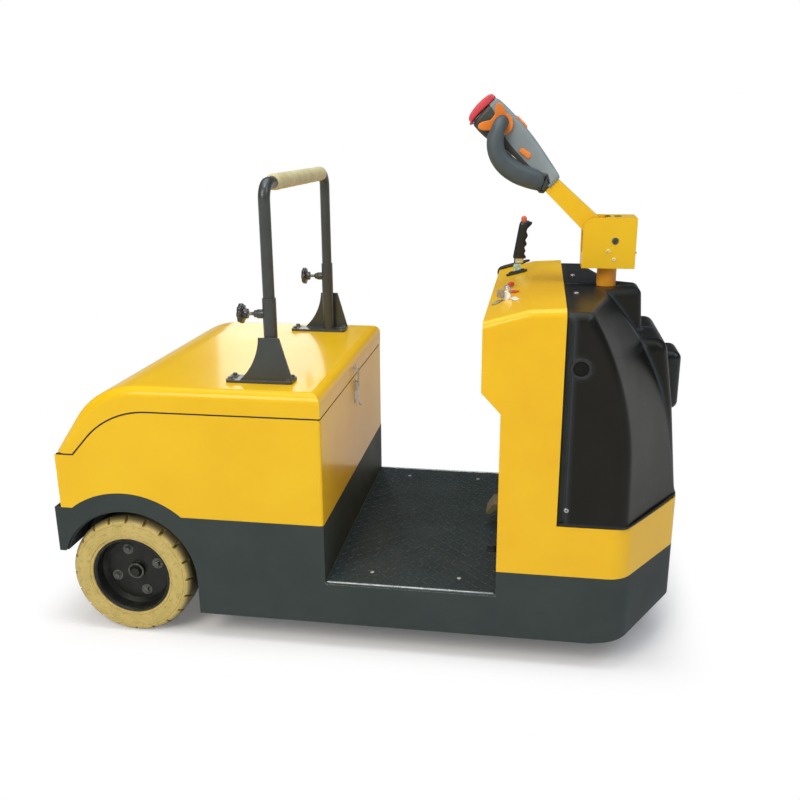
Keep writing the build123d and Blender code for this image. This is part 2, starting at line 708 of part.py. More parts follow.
# Parking brake lever: finger grip on a flat shaft, carried on a bracket inside the console
GRIP_RISE = 34.0
GRIP_HEIGHT = 122.0
GRIP_LOW_Z = CONSOLE_TOP_Z + GRIP_RISE
GRIP_HIGH_Z = GRIP_LOW_Z + GRIP_HEIGHT
GRIP_DEPTH = 36.0
GRIP_THICK = 26.0
GRIP_LEAN = 6.0
FINGERS = 4
with BuildPart() as handbrake_grip:
    with BuildSketch(at_y(SLOT_Y)) as grip:
        with BuildLine():
            Polyline(
                (SLOT_X - 10, GRIP_LOW_Z),
                (SLOT_X - 10 + GRIP_DEPTH, GRIP_LOW_Z),
                (SLOT_X - 8 + GRIP_DEPTH, GRIP_HIGH_Z - 18),
                (SLOT_X + 6 + GRIP_DEPTH, GRIP_HIGH_Z - 8),
                (SLOT_X - 10 + GRIP_DEPTH, GRIP_HIGH_Z),
                (SLOT_X - 10 + GRIP_LEAN, GRIP_HIGH_Z),
                close=True,
            )
        make_face()
        pitch = (GRIP_HIGH_Z - GRIP_LOW_Z - 30) / FINGERS
        for finger in range(FINGERS):
            with Locations((SLOT_X - 4 + GRIP_DEPTH, GRIP_LOW_Z + 12 + pitch * finger)):
                Circle(pitch / 2, mode=Mode.SUBTRACT)
    extrude(amount=GRIP_THICK / 2, both=True)
finish(handbrake_grip, "handbrake_grip")

SHAFT_THICK = 10.0
SHAFT_DEPTH = 22.0
MOUNT_Z = CONSOLE_TOP_Z - 130
with BuildPart() as handbrake_shaft:
    box_between(
        (SLOT_X - SHAFT_DEPTH / 2, SLOT_Y - SHAFT_THICK / 2, MOUNT_Z),
        (SLOT_X + SHAFT_DEPTH / 2, SLOT_Y + SHAFT_THICK / 2, GRIP_LOW_Z),
    )
    box_between(
        (CONSOLE_X + SHEET, SLOT_Y - SHAFT_THICK / 2, MOUNT_Z),
        (SLOT_X, SLOT_Y + SHAFT_THICK / 2, MOUNT_Z + 50),
    )
finish(handbrake_shaft, "handbrake_shaft")

# Key switch on the sloping top, with its key
KEY_X = CONSOLE_X + 47
KEY_Y = -10.0
KEY_BARREL_R = 15.0
with BuildPart() as key_switch:
    normal = (-slant, 0, 1)
    key_plane = Plane(origin=(KEY_X, KEY_Y, slant_z(KEY_X)), x_dir=(1, 0, slant), z_dir=normal)
    with BuildSketch(key_plane):
        Circle(KEY_BARREL_R)
    extrude(amount=8)
    with BuildSketch(key_plane.offset(8)):
        RectangleRounded(9, 26, 3)
    extrude(amount=24)
finish(key_switch, "key_switch")

# Foot pedal on the wall under the console
PEDAL_Z = STEP_Z + 79
PEDAL_WIDTH = 90.0
PEDAL_REACH = 56.0
with BuildPart() as foot_pedal:
    with BuildSketch(Plane.XZ):
        with BuildLine():
            Polyline(
                (FOOT_X, PEDAL_Z + 20),
                (FOOT_X - PEDAL_REACH * 0.6, PEDAL_Z + 12),
                (FOOT_X - PEDAL_REACH, PEDAL_Z - 22),
                (FOOT_X - PEDAL_REACH + 12, PEDAL_Z - 24),
                (FOOT_X - PEDAL_REACH * 0.4, PEDAL_Z - 6),
                (FOOT_X, PEDAL_Z - 4),
                close=True,
            )
        make_face()
    extrude(amount=PEDAL_WIDTH / 2, both=True)
finish(foot_pedal, "foot_pedal")

# Toggle latch: body with its draw loop on the box, keeper on the lid
LATCH_WIDTH = 26.0
LATCH_BASE = 5.0
LATCH_LENGTH = 80.0
LATCH_HIGH_Z = SEAM_Z - 11
LATCH_LOW_Z = LATCH_HIGH_Z - LATCH_LENGTH
KEEPER_LOW_Z = SEAM_Z + 14
KEEPER_HIGH_Z = KEEPER_LOW_Z + 27
with BuildPart() as latch:
    box_between(
        (BOX_FRONT_X, -LATCH_WIDTH / 2, LATCH_LOW_Z),
        (BOX_FRONT_X + LATCH_BASE, LATCH_WIDTH / 2, LATCH_HIGH_Z),
    )
    box_between(
        (BOX_FRONT_X + LATCH_BASE, -LATCH_WIDTH / 3, LATCH_LOW_Z - 6),
        (BOX_FRONT_X + 2 * LATCH_BASE, LATCH_WIDTH / 3, LATCH_HIGH_Z - 14),
    )
    for y in (-LATCH_WIDTH / 3, LATCH_WIDTH / 3 - 3):
        box_between(
            (BOX_FRONT_X + 1.6 * LATCH_BASE, y, LATCH_HIGH_Z - 20),
            (BOX_FRONT_X + 2.4 * LATCH_BASE, y + 3, KEEPER_HIGH_Z - 6),
        )
    box_between(
        (BOX_FRONT_X + 1.6 * LATCH_BASE, -LATCH_WIDTH / 3, KEEPER_HIGH_Z - 9),
        (BOX_FRONT_X + 2.4 * LATCH_BASE, LATCH_WIDTH / 3, KEEPER_HIGH_Z - 6),
    )
finish(latch, "latch")

with BuildPart() as latch_keeper:
    box_between(
        (BOX_FRONT_X, -LATCH_WIDTH / 2, KEEPER_LOW_Z),
        (BOX_FRONT_X + LATCH_BASE / 2, LATCH_WIDTH / 2, KEEPER_HIGH_Z),
    )
finish(latch_keeper, "latch_keeper")

# Lid: pressed sheet with a flat top, a rear curve and a skirt all round
LID_REAR_X = lid_rear_x(0)


def lid_form(inset):
    """Solid under the lid's roof, drawn in by inset, down to below the seam."""
    foot_x = lid_rear_x(inset) - (SEAM_REAR_Z + SEAM_GAP - BELT_Z) / tan(radians(LID_SLOPE))
    with BuildPart() as form:
        with BuildSketch(Plane.XZ):
            with BuildLine():
                lid_roof(inset, BELT_Z, BELT_Z)
                Line((BOX_FRONT_X - inset, BELT_Z), (foot_x, BELT_Z))
            make_face()
        extrude(amount=HALF - inset, both=True)
        sides = form.faces().filter_by(Axis.Y).edges()
        crest = [e for e in sides.filter_by(Axis.Z, reverse=True) if e.center().Z > BELT_Z + 1]
        front_edge = form.edges().filter_by(Axis.Y).group_by(Axis.Z)[-1].sort_by(Axis.X)[-1]
        fillet([*crest, front_edge], LID_EDGE_R - inset)
    return form.part


with BuildPart() as lid:
    add(lid_form(0))
    add(lid_form(SHEET), mode=Mode.SUBTRACT)
    with BuildSketch(Plane.XZ):
        with BuildLine():
            seam_line(SEAM_GAP, BUMPER_X - WIDTH)
            Polyline(
                (BUMPER_X - WIDTH, SEAM_REAR_Z + SEAM_GAP),
                (BUMPER_X - WIDTH, 0),
                (WIDTH, 0),
                (WIDTH, SEAM_Z + SEAM_GAP),
                (BOX_FRONT_X, SEAM_Z + SEAM_GAP),
            )
        make_face()
    extrude(amount=WIDTH, both=True, mode=Mode.SUBTRACT)
finish(lid, "lid")

# Lid hinges: fixed leaves with pins on the box, knuckles with tabs on the lid
HINGE_X = BOX_REAR_X - LEAF - KNUCKLE_R + 1
HINGE_Z = SEAM_REAR_Z + SEAM_GAP / 2
THIRD = HINGE_LENGTH / 3
with BuildPart() as hinge_leaves:
    for y in (-HINGE_Y, HINGE_Y):
        box_between(
            (BOX_REAR_X - LEAF, y - HINGE_LENGTH / 2, SEAM_REAR_Z - LEAF_REACH),
            (BOX_REAR_X, y + HINGE_LENGTH / 2, SEAM_REAR_Z - KNUCKLE_R),
        )
        for start in (y - HINGE_LENGTH / 2, y + HINGE_LENGTH / 6):
            with BuildSketch(at_y(start)):
                with Locations((HINGE_X, HINGE_Z)):
                    Circle(KNUCKLE_R)
                with BuildLine():
                    Polyline(
                        (HINGE_X - KNUCKLE_R, HINGE_Z),
                        (HINGE_X + KNUCKLE_R - 1, HINGE_Z),
                        (BOX_REAR_X - SEAT, SEAM_REAR_Z - KNUCKLE_R - 8),
                        (BOX_REAR_X - LEAF, SEAM_REAR_Z - KNUCKLE_R - 8),
                        close=True,
                    )
                make_face()
            extrude(amount=-THIRD)
        with BuildSketch(at_y(y - HINGE_LENGTH / 2)):
            with Locations((HINGE_X, HINGE_Z)):
                Circle(HINGE_PIN_R)
        extrude(amount=-HINGE_LENGTH)
finish(hinge_leaves, "hinge_leaves")

slope_dir = (cos(radians(LID_SLOPE)), sin(radians(LID_SLOPE)))
slope_out = (-slope_dir[1], slope_dir[0])
with BuildPart() as lid_knuckles:
    for y in (-HINGE_Y, HINGE_Y):
        with BuildSketch(at_y(y - THIRD / 2 + SEAT)):
            foot = (LID_REAR_X, SEAM_REAR_Z + SEAM_GAP)
            tip = (foot[0] + LEAF_REACH * slope_dir[0], foot[1] + LEAF_REACH * slope_dir[1])
            with BuildLine():
                Polyline(
                    foot,
                    tip,
                    (tip[0] + LEAF * slope_out[0], tip[1] + LEAF * slope_out[1]),
                    (HINGE_X - KNUCKLE_R * slope_dir[1], HINGE_Z + KNUCKLE_R * slope_dir[0]),
                    (HINGE_X, HINGE_Z),
                    close=True,
                )
            make_face()
            with Locations((HINGE_X, HINGE_Z)):
                Circle(KNUCKLE_R)
                Circle(HINGE_PIN_R + RUN_FIT, mode=Mode.SUBTRACT)
        extrude(amount=-(THIRD - 2 * SEAT))
finish(lid_knuckles, "lid_knuckles")

# Backrest brackets: foot plate, outer gusset and clamping socket on each side of the lid
FOOT_TOP_Z = LID_TOP_Z + FOOT_PLATE
with BuildPart() as backrest_brackets:
    with BuildSketch(Plane.XY.offset(LID_TOP_Z)):
        with Locations((FOOT_PLATE_X, LEG_Y)):
            RectangleRounded(FOOT_PLATE_LENGTH, FOOT_PLATE_WIDTH, 10)
    extrude(amount=FOOT_PLATE)
    with BuildSketch(Plane.XY.offset(FOOT_TOP_Z)):
        with Locations((LEG_X, LEG_Y)):
            Circle(SOCKET_R)
    extrude(amount=SOCKET_TOP_Z - FOOT_TOP_Z)
    with BuildSketch(at_y(LEG_Y + SOCKET_R)):
        top_back = (LEG_X - GUSSET_TOP_WIDTH / 2, GUSSET_TOP_Z)
        base_back = (LEG_X - GUSSET_BASE_WIDTH * 0.58, FOOT_TOP_Z)
        bow = ((top_back[0] + base_back[0]) / 2 + 12, (top_back[1] + base_back[1]) / 2 - 8)
        with BuildLine():
            Polyline(
                top_back,
                (LEG_X + GUSSET_TOP_WIDTH / 2, GUSSET_TOP_Z),
                (LEG_X + GUSSET_BASE_WIDTH * 0.42, FOOT_TOP_Z),
                base_back,
            )
            ThreePointArc(base_back, bow, top_back)
        make_face()
    extrude(amount=-GUSSET)
    with BuildSketch(Plane.XY.offset(FOOT_TOP_Z)):
        with Locations((LEG_X, LEG_Y)):
            Circle(LEG_R + 2 * RUN_FIT)
    extrude(amount=SOCKET_TOP_Z - FOOT_TOP_Z, mode=Mode.SUBTRACT)
    mirror(about=Plane.XZ)
finish(backrest_brackets, "backrest_brackets")

# Clamp studs and their lobed knobs, on the rear of each socket
BOSS_X = LEG_X - SOCKET_R
with BuildPart() as clamp_studs:
    with BuildSketch(Plane(origin=(BOSS_X, LEG_Y, KNOB_Z), z_dir=(-1, 0, 0))):
        Circle(BOSS_R)
    extrude(amount=BOSS_LENGTH)
    with BuildSketch(Plane(origin=(BOSS_X - BOSS_LENGTH, LEG_Y, KNOB_Z), z_dir=(-1, 0, 0))):
        Circle(STUD_R)
    extrude(amount=STUD_LENGTH)
    with BuildSketch(Plane.XY.offset(FOOT_TOP_Z)):
        with Locations((LEG_X, LEG_Y)):
            Circle(SOCKET_R + SEAT / 10)
    extrude(amount=SOCKET_TOP_Z - FOOT_TOP_Z, mode=Mode.SUBTRACT)
    mirror(about=Plane.XZ)
finish(clamp_studs, "clamp_studs")

KNOB_BACK_X = BOSS_X - BOSS_LENGTH - STUD_LENGTH
with BuildPart() as clamp_knobs:
    with BuildSketch(Plane(origin=(KNOB_BACK_X, LEG_Y, KNOB_Z), z_dir=(-1, 0, 0))):
        Circle(KNOB_HUB_R)
    extrude(amount=KNOB_HUB)
    with BuildSketch(Plane(origin=(KNOB_BACK_X - KNOB_HUB, LEG_Y, KNOB_Z), z_dir=(-1, 0, 0))):
        Circle(KNOB_R)
        with PolarLocations(KNOB_R + 4, KNOB_LOBES):
            Circle(9, mode=Mode.SUBTRACT)
    extrude(amount=KNOB_THICK)
    mirror(about=Plane.XZ)
finish(clamp_knobs, "clamp_knobs")

# Backrest bar: bent tube whose legs slide in the sockets
with BuildPart() as backrest_bar:
    with BuildLine(Plane.YZ.offset(LEG_X)) as path:
        FilletPolyline(
            (-LEG_Y, LEG_END_Z),
            (-LEG_Y, BAR_TOP_Z),
            (LEG_Y, BAR_TOP_Z),
            (LEG_Y, LEG_END_Z),
            radius=BAR_BEND_R,
        )
    with BuildSketch(Plane(origin=path.wire() @ 0, z_dir=path.wire() % 0)):
        Circle(LEG_R)
    sweep(path=path.wire())
finish(backrest_bar, "backrest_bar")

with BuildPart() as backrest_grip:
    with BuildSketch(at_y(GRIP_START_Y)):
        with Locations((LEG_X, BAR_TOP_Z)):
            Circle(GRIP_R)
            Circle(LEG_R + RUN_FIT, mode=Mode.SUBTRACT)
    extrude(amount=GRIP_START_Y - GRIP_END_Y)
finish(backrest_grip, "backrest_grip")

# Rear wheels: solid tyre on a dished rim, one body each side
for name, sign in (("right", -1), ("left", 1)):
    face = Plane(origin=(REAR_AXLE_X, sign * HALF, AXLE_Z), x_dir=(0, 0, 1), z_dir=(sign, 0, 0))
    disc = Plane(origin=(REAR_AXLE_X, sign * HALF, AXLE_Z), x_dir=(1, 0, 0), z_dir=(0, sign, 0))
    with BuildPart() as tyre:
        half_turn = 180 / TREAD_FACETS
        with BuildSketch(disc.offset(-TYRE_WIDTH)):
            RegularPolygon(TYRE_R, TREAD_FACETS, rotation=half_turn)
        extrude(amount=TYRE_WIDTH - SHOULDER)
        with BuildSketch(disc.offset(-SHOULDER)):
            RegularPolygon(TYRE_R, TREAD_FACETS, rotation=half_turn)
        extrude(amount=SHOULDER, taper=45)
        with BuildSketch(disc):
            Circle(RIM_R)
        extrude(amount=-TYRE_WIDTH, mode=Mode.SUBTRACT)
        with BuildSketch(disc):
            with PolarLocations(TYRE_R, LUGS):
                Rectangle(2 * LUG_DEPTH, LUG_GAP)
        extrude(amount=-LUG_LENGTH, mode=Mode.SUBTRACT)
    finish(tyre, f"tyre_{name}")

    with BuildPart() as rim_part:
        with BuildSketch(face):
            bore = SPINDLE_R + RUN_FIT
            back = TYRE_WIDTH - 8
            with BuildLine():
                Polyline(
                    (RIM_R - SEAT / 10, 5),
                    (RIM_R - 6, 4),
                    (RIM_R - 10, 9),
                    (RIM_R - 14, DISH - 12),
                    (RIM_R - 24, DISH),
                    (HUB_R, DISH),
                    (HUB_R, DISH - HUB_PROUD),
                    (CAP_R, DISH - HUB_PROUD),
                    (CAP_R - 6, DISH - HUB_PROUD - CAP_PROUD),
                    (0, DISH - HUB_PROUD - CAP_PROUD),
                    (0, DISH - HUB_PROUD),
                    (bore, DISH - HUB_PROUD),
                    (bore, back - 10),
                    (HUB_R + 8, back - 10),
                    (HUB_R + 8, DISH + 12),
                    (DRUM_R - 8, DISH + 12),
                    (DRUM_R - 8, back),
                    (DRUM_R, back),
                    (DRUM_R, DISH + 12),
                    (RIM_R - 12, DISH + 16),
                    (RIM_R - 8, back - 6),
                    (RIM_R - SEAT / 10, back),
                    close=True,
                )
            make_face()
        revolve(axis=LENGTH_AXIS)
        with BuildSketch(disc.offset(-DISH)):
            with PolarLocations(BOLT_CIRCLE / 2, BOLTS, start_angle=20):
                RegularPolygon(BOLT_R, 6)
        extrude(amount=BOLT_HEIGHT)
    finish(rim_part, f"rim_{name}")

# Drive unit: turntable and gear case that carry the drive wheel, with the motor on top
CASE_Y = DRIVE_WIDTH / 2 + MOVE_GAP
CASE_TOP_Z = 2 * DRIVE_R + MOVE_GAP + 4
with BuildPart() as drive_gearbox:
    with BuildSketch(Plane.XY.offset(CASE_TOP_Z)):
        with Locations((STEER_X, 0)):
            Circle(TURNTABLE_R)
    extrude(amount=BAND_Z + SEAT - CASE_TOP_Z)
    with BuildSketch(Plane.XY.offset(BAND_Z + SEAT)):
        with Locations((STEER_X, 0)):
            Circle(FLANGE_R)
    extrude(amount=FLANGE)
    with BuildSketch(at_y(CASE_Y)):
        with Locations((STEER_X, DRIVE_R)):
            Circle(GEARCASE_R)
        with Locations((STEER_X, CASE_TOP_Z)):
            Rectangle(2 * GEARCASE_R, DRIVE_R + MOVE_GAP + 4, align=(Align.CENTER, Align.MAX))
    extrude(amount=-GEARCASE)
    with BuildSketch(at_y(CASE_Y)):
        with Locations((STEER_X, DRIVE_R)):
            Circle(SPINDLE_R)
    extrude(amount=DRIVE_WIDTH + MOVE_GAP)
finish(drive_gearbox, "drive_gearbox")

with BuildPart() as drive_motor:
    with BuildSketch(Plane.XY.offset(BAND_Z + SEAT + FLANGE)):
        with Locations((STEER_X, 0)):
            Circle(MOTOR_R)
    extrude(amount=MOTOR_TOP_Z - BAND_Z - SEAT - FLANGE)
finish(drive_motor, "drive_motor")

with BuildPart() as drive_wheel:
    with BuildSketch(at_y(DRIVE_WIDTH / 2)):
        with Locations((STEER_X, DRIVE_R)):
            Circle(DRIVE_R)
            Circle(DRIVE_R - DRIVE_TREAD, mode=Mode.SUBTRACT)
    extrude(amount=DRIVE_WIDTH)
finish(drive_wheel, "drive_wheel")

with BuildPart() as drive_hub:
    with BuildSketch(at_y(DRIVE_WIDTH / 2 - 4)):
        with Locations((STEER_X, DRIVE_R)):
            Circle(DRIVE_R - DRIVE_TREAD)
            Circle(SPINDLE_R + RUN_FIT, mode=Mode.SUBTRACT)
    extrude(amount=DRIVE_WIDTH - 8)
finish(drive_hub, "drive_hub")

with BuildPart() as steering_column:
    with BuildSketch(Plane.XY.offset(MOTOR_TOP_Z)):
        with Locations((STEER_X, 0)):
            Circle(COLUMN_R)
    extrude(amount=TILLER_BASE_Z - MOTOR_TOP_Z)
finish(steering_column, "steering_column")

# Tiller housing: folded sheet with two cheeks, open at the top rear for the arm.
# Openings in its top plate, columns: start from the plate's rear edge, length, width.
TOP_SLOTS = ((0, 14, 44), (26, 20, 14))
with BuildPart() as tiller_housing:
    with BuildSketch(Plane.XZ) as cheek:
        with BuildLine():
            Polyline(
                (TILLER_BACK_X, TILLER_BASE_Z),
                (TILLER_FRONT_X, TILLER_BASE_Z),
                (TILLER_FRONT_X, TILLER_TOP_Z),
                (TILLER_BACK_X, TILLER_TOP_Z),
                close=True,
            )
        make_face()
        corner = cheek.vertices().sort_by_distance((TILLER_BACK_X, TILLER_TOP_Z))[0]
        fillet(corner, TILLER_CORNER_R)
    extrude(amount=TILLER_WIDTH / 2, both=True)
    inside = TILLER_WIDTH / 2 - TILLER_SHEET
    box_between(
        (TILLER_BACK_X + TILLER_SHEET, -inside, TILLER_BASE_Z + TILLER_SHEET),
        (TILLER_FRONT_X - TILLER_SHEET, inside, TILLER_TOP_Z - TILLER_SHEET),
        Mode.SUBTRACT,
    )
    box_between(
        (TILLER_BACK_X, -inside, REAR_SILL_Z),
        (TOP_PLATE_X, inside, TILLER_TOP_Z),
        Mode.SUBTRACT,
    )
    for start, length, width in TOP_SLOTS:
        box_between(
            (TOP_PLATE_X + start, -width / 2, TILLER_TOP_Z - 2 * TILLER_SHEET),
            (TOP_PLATE_X + start + length, width / 2, TILLER_TOP_Z),
            Mode.SUBTRACT,
        )
    with BuildSketch(Plane.XZ):
        with Locations((PIVOT_X, PIVOT_Z)):
            Circle(PIVOT_R)
    extrude(amount=TILLER_WIDTH / 2, both=True)
finish(tiller_housing, "tiller_housing")

# Tiller arm and head, drawn along the arm: local x runs up the arm from the pivot
tilt = radians(ARM_TILT)
ARM_PLANE = Plane(origin=(PIVOT_X, 0, PIVOT_Z), x_dir=(-cos(tilt), 0, sin(tilt)), z_dir=(0, 1, 0))
with BuildPart() as tiller_arm:
    with BuildSketch(ARM_PLANE):
        with BuildLine():
            Polyline(
                (0, 17),
                (HEAD_START + ARM_TENON, 6),
                (HEAD_START + ARM_TENON, -42),
                (20, -46),
                (0, -ARM_END_R),
                close=True,
            )
        make_face()
        Circle(ARM_END_R)
        Circle(PIVOT_R + RUN_FIT, mode=Mode.SUBTRACT)
    extrude(amount=ARM_WIDTH / 2, both=True)
finish(tiller_arm, "tiller_arm")

# Head shells: (distance along the arm, height above it), split along a parting line
UPPER_EDGE = [
    (HEAD_START, 17),
    (HEAD_START + HEAD_LENGTH * 0.18, HEAD_CROWN * 0.61),
    (HEAD_START + HEAD_LENGTH * 0.37, HEAD_CROWN * 0.87),
    (HEAD_START + HEAD_LENGTH * 0.56, HEAD_CROWN),
    (HEAD_START + HEAD_LENGTH * 0.86, HEAD_CROWN + 3),
    (HEAD_END, HEAD_CROWN),
]
PARTING = [
    (HEAD_END + 3, -20),
    (HEAD_START + HEAD_LENGTH * 0.74, -16),
    (HEAD_START + HEAD_LENGTH * 0.5, -24),
    (HEAD_START + 10, -24),
]
LOWER_EDGE = [
    (HEAD_START + 12, -30),
    (HEAD_START + HEAD_LENGTH * 0.26, -34),
    (HEAD_START + HEAD_LENGTH * 0.53, -38),
    (HEAD_START + HEAD_LENGTH * 0.79, -HEAD_DEPTH - 2),
    (HEAD_END - 8, -HEAD_DEPTH),
]
with BuildPart() as head_upper:
    with BuildSketch(ARM_PLANE):
        with BuildLine():
            Polyline(*UPPER_EDGE, *PARTING, close=True)
        make_face()
    extrude(amount=HEAD_WIDTH / 2, both=True)
    sides = head_upper.faces().filter_by(Axis.Y).edges()
    crown = [e for e in sides if ARM_PLANE.to_local_coords(e.center()).Y > 15]
    fillet(crown, HEAD_EDGE_R)
    add(tiller_arm.part, mode=Mode.SUBTRACT)
finish(head_upper, "head_upper")

with BuildPart() as head_lower:
    with BuildSketch(ARM_PLANE):
        with BuildLine():
            Polyline(*reversed(PARTING), *reversed(LOWER_EDGE), close=True)
        make_face()
    extrude(amount=HEAD_WIDTH / 2, both=True)
    with BuildSketch(ARM_PLANE):
        with BuildLine():
            Polyline(
                (HEAD_START, 10),
                (HEAD_START - 2, -50),
                (HEAD_START + 12, -56),
                (HEAD_START + 60, -50),
                (HEAD_START + 44, -24),
                (HEAD_START + 10, 12),
                close=True,
            )
        make_face()
    extrude(amount=ARM_WIDTH / 2 + SHEET, both=True)
    add(head_upper.part, mode=Mode.SUBTRACT)
    add(tiller_arm.part, mode=Mode.SUBTRACT)
finish(head_lower, "head_lower")

# Guard handles: bent tubes from the head's sides down to its collar.
# Columns: distance along the arm, height above it, distance from the centre plane.
HANDLE_PATH = (
    (HANDLE_ROOT, 5, HEAD_WIDTH / 2 - 6),
    (HANDLE_ROOT - 12, -24, HEAD_WIDTH / 2 + HANDLE_REACH * 0.6),
    (HANDLE_ROOT - 44, -60, HEAD_WIDTH / 2 + HANDLE_REACH * 0.8),
    (HANDLE_ROOT - HANDLE_RUN, -52, HEAD_WIDTH / 2 + HANDLE_REACH * 0.6),
    (HEAD_START + 14, -28, ARM_WIDTH / 2 - 16),
)
with BuildPart() as head_handles:
    with BuildLine() as grip_path:
        bends = [ARM_PLANE.from_local_coords(Vector(*point)) for point in HANDLE_PATH]
        FilletPolyline(*bends, radius=HANDLE_BEND_R)
    with BuildSketch(Plane(origin=grip_path.wire() @ 0, z_dir=grip_path.wire() % 0)):
        Circle(HANDLE_R)
    sweep(path=grip_path.wire())
    with BuildSketch(ARM_PLANE):
        with Locations((HEAD_START, 0)):
            Rectangle(2 * WIDTH, 2 * WIDTH)
    extrude(amount=HEAD_WIDTH / 2, both=True, mode=Mode.SUBTRACT)
    add(tiller_arm.part, mode=Mode.SUBTRACT)
    add(head_lower.part, mode=Mode.SUBTRACT)
    mirror(about=Plane.XZ)
finish(head_handles, "head_handles")

with BuildPart() as reverse_button:
    with BuildSketch(ARM_PLANE):
        with BuildLine():
            tip = (HEAD_END + BUTTON_REACH - 5, HEAD_CROWN - 4)
            toe = (HEAD_END + 4, -HEAD_DEPTH - 4)
            Line((HEAD_END, HEAD_CROWN), tip)
            ThreePointArc(tip, (HEAD_END + BUTTON_REACH, -8), toe)
            Line(toe, (HEAD_END - 8, -HEAD_DEPTH))
            Polyline((HEAD_END - 8, -HEAD_DEPTH), (HEAD_END + 3, -20), (HEAD_END, HEAD_CROWN))
        make_face()
    extrude(amount=HEAD_WIDTH / 2, both=True)
finish(reverse_button, "reverse_button")

with BuildPart() as butterflies:
    thumb_plane = Plane(
        origin=ARM_PLANE.from_local_coords((HANDLE_ROOT, 5, HEAD_WIDTH / 2)),
        x_dir=ARM_PLANE.x_dir,
        z_dir=(0, 1, 0),
    )
    with BuildSketch(thumb_plane):
        Circle(HANDLE_R + 12)
        for turn in (33, -49):
            with Locations(Location((44 * cos(radians(turn)), 44 * sin(radians(turn)), 0), (0, 0, turn))):
                Ellipse(20, 9)
        Circle(HANDLE_R + 4, mode=Mode.SUBTRACT)
    extrude(amount=10)
    add(head_handles.part, mode=Mode.SUBTRACT)
    mirror(about=Plane.XZ)
finish(butterflies, "butterflies")

# Towing gear: bolted plate, forked jaw and drop pin
with BuildPart() as tow_plate:
    with BuildSketch(Plane.YZ.offset(PLATE_X)):
        with Locations((0, TOW_Z)):
            RectangleRounded(TOW_PLATE_WIDTH, TOW_PLATE_HEIGHT, 12)
            with GridLocations(TOW_HOLE_Y, TOW_HOLE_Z, 2, 2):
                Circle(TOW_HOLE_R, mode=Mode.SUBTRACT)
    extrude(amount=TOW_PLATE)
finish(tow_plate, "tow_plate")

JAW_HEIGHT = JAW_MOUTH + 2 * JAW_PLATE
with BuildPart() as tow_jaw:
    with BuildSketch(Plane.XY.offset(TOW_Z - JAW_HEIGHT / 2)):
        with Locations(((PLATE_X + JAW_END_X) / 2, 0)):
            Rectangle(PLATE_X - JAW_END_X, JAW_WIDTH)
    extrude(amount=JAW_HEIGHT)
    fillet(tow_jaw.edges().filter_by(Axis.Z).group_by(Axis.X)[0], 26)
    box_between(
        (JAW_END_X, -JAW_WIDTH, TOW_Z - JAW_MOUTH / 2),
        (PLATE_X - 12, JAW_WIDTH, TOW_Z + JAW_MOUTH / 2),
        Mode.SUBTRACT,
    )
    with Locations((PIN_X, 0, TOW_Z)):
        Cylinder(TOW_PIN_R + 2 * RUN_FIT, 2 * JAW_HEIGHT, mode=Mode.SUBTRACT)
finish(tow_jaw, "tow_jaw")

with BuildPart() as tow_pin:
    with BuildSketch(Plane.XY.offset(TOW_Z - JAW_HEIGHT / 2 - 8)):
        with Locations((PIN_X, 0)):
            Circle(TOW_PIN_R)
    extrude(amount=JAW_HEIGHT + 8 + SEAT)
    with BuildSketch(Plane.XY.offset(TOW_Z + JAW_HEIGHT / 2 + SEAT)):
        with Locations((PIN_X, 0)):
            Circle(TOW_PIN_R + 7)
    extrude(amount=10)
finish(tow_pin, "tow_pin")
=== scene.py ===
"""Looks of a stand-on three-wheel electric tow tractor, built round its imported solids.

Metres, +X forward, +Y the driver's left, +Z up, origin on the ground. Sizes in the classes
below are millimetres, as a maker would give them, and MM turns them into metres.
"""

import logging
import math
from dataclasses import dataclass
from enum import Enum

import bmesh
import bpy
import numpy as np
from mathutils import Matrix


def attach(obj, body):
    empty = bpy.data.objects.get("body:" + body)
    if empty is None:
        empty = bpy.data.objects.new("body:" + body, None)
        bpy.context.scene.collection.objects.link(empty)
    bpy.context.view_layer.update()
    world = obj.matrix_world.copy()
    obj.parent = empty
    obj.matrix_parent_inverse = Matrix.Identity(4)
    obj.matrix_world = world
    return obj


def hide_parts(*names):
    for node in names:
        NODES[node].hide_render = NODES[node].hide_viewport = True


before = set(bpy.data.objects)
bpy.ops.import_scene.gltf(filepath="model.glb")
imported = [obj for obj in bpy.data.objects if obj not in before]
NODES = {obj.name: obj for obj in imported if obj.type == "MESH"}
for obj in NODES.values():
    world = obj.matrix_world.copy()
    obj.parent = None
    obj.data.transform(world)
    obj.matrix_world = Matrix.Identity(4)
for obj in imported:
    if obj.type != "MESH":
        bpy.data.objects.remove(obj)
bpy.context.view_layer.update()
MM = 0.001
SIDES = (-1, 1)
REAR_AXLE = (-680.0, 192.5)
Array = np.ndarray
Tree = bpy.types.NodeTree
Socket = bpy.types.NodeSocket
log = logging.getLogger("tow_tractor")


# Colour and nodes


def linear(hex_colour: str) -> tuple:
    """Turns an sRGB hex colour into the linear colour that a shader socket takes.

    Args:
        hex_colour: the colour as "#RRGGBB".

    Returns:
        Red, green, blue and an alpha of one.
    """
    channels = np.array([int(hex_colour[i:i + 2], 16) for i in (1, 3, 5)]) / 255
    low, high = channels / 12.92, ((channels + 0.055) / 1.055) ** 2.4
    return (*np.where(channels <= 0.04045, low, high).tolist(), 1.0)


WHITE = linear("#FFFFFF")


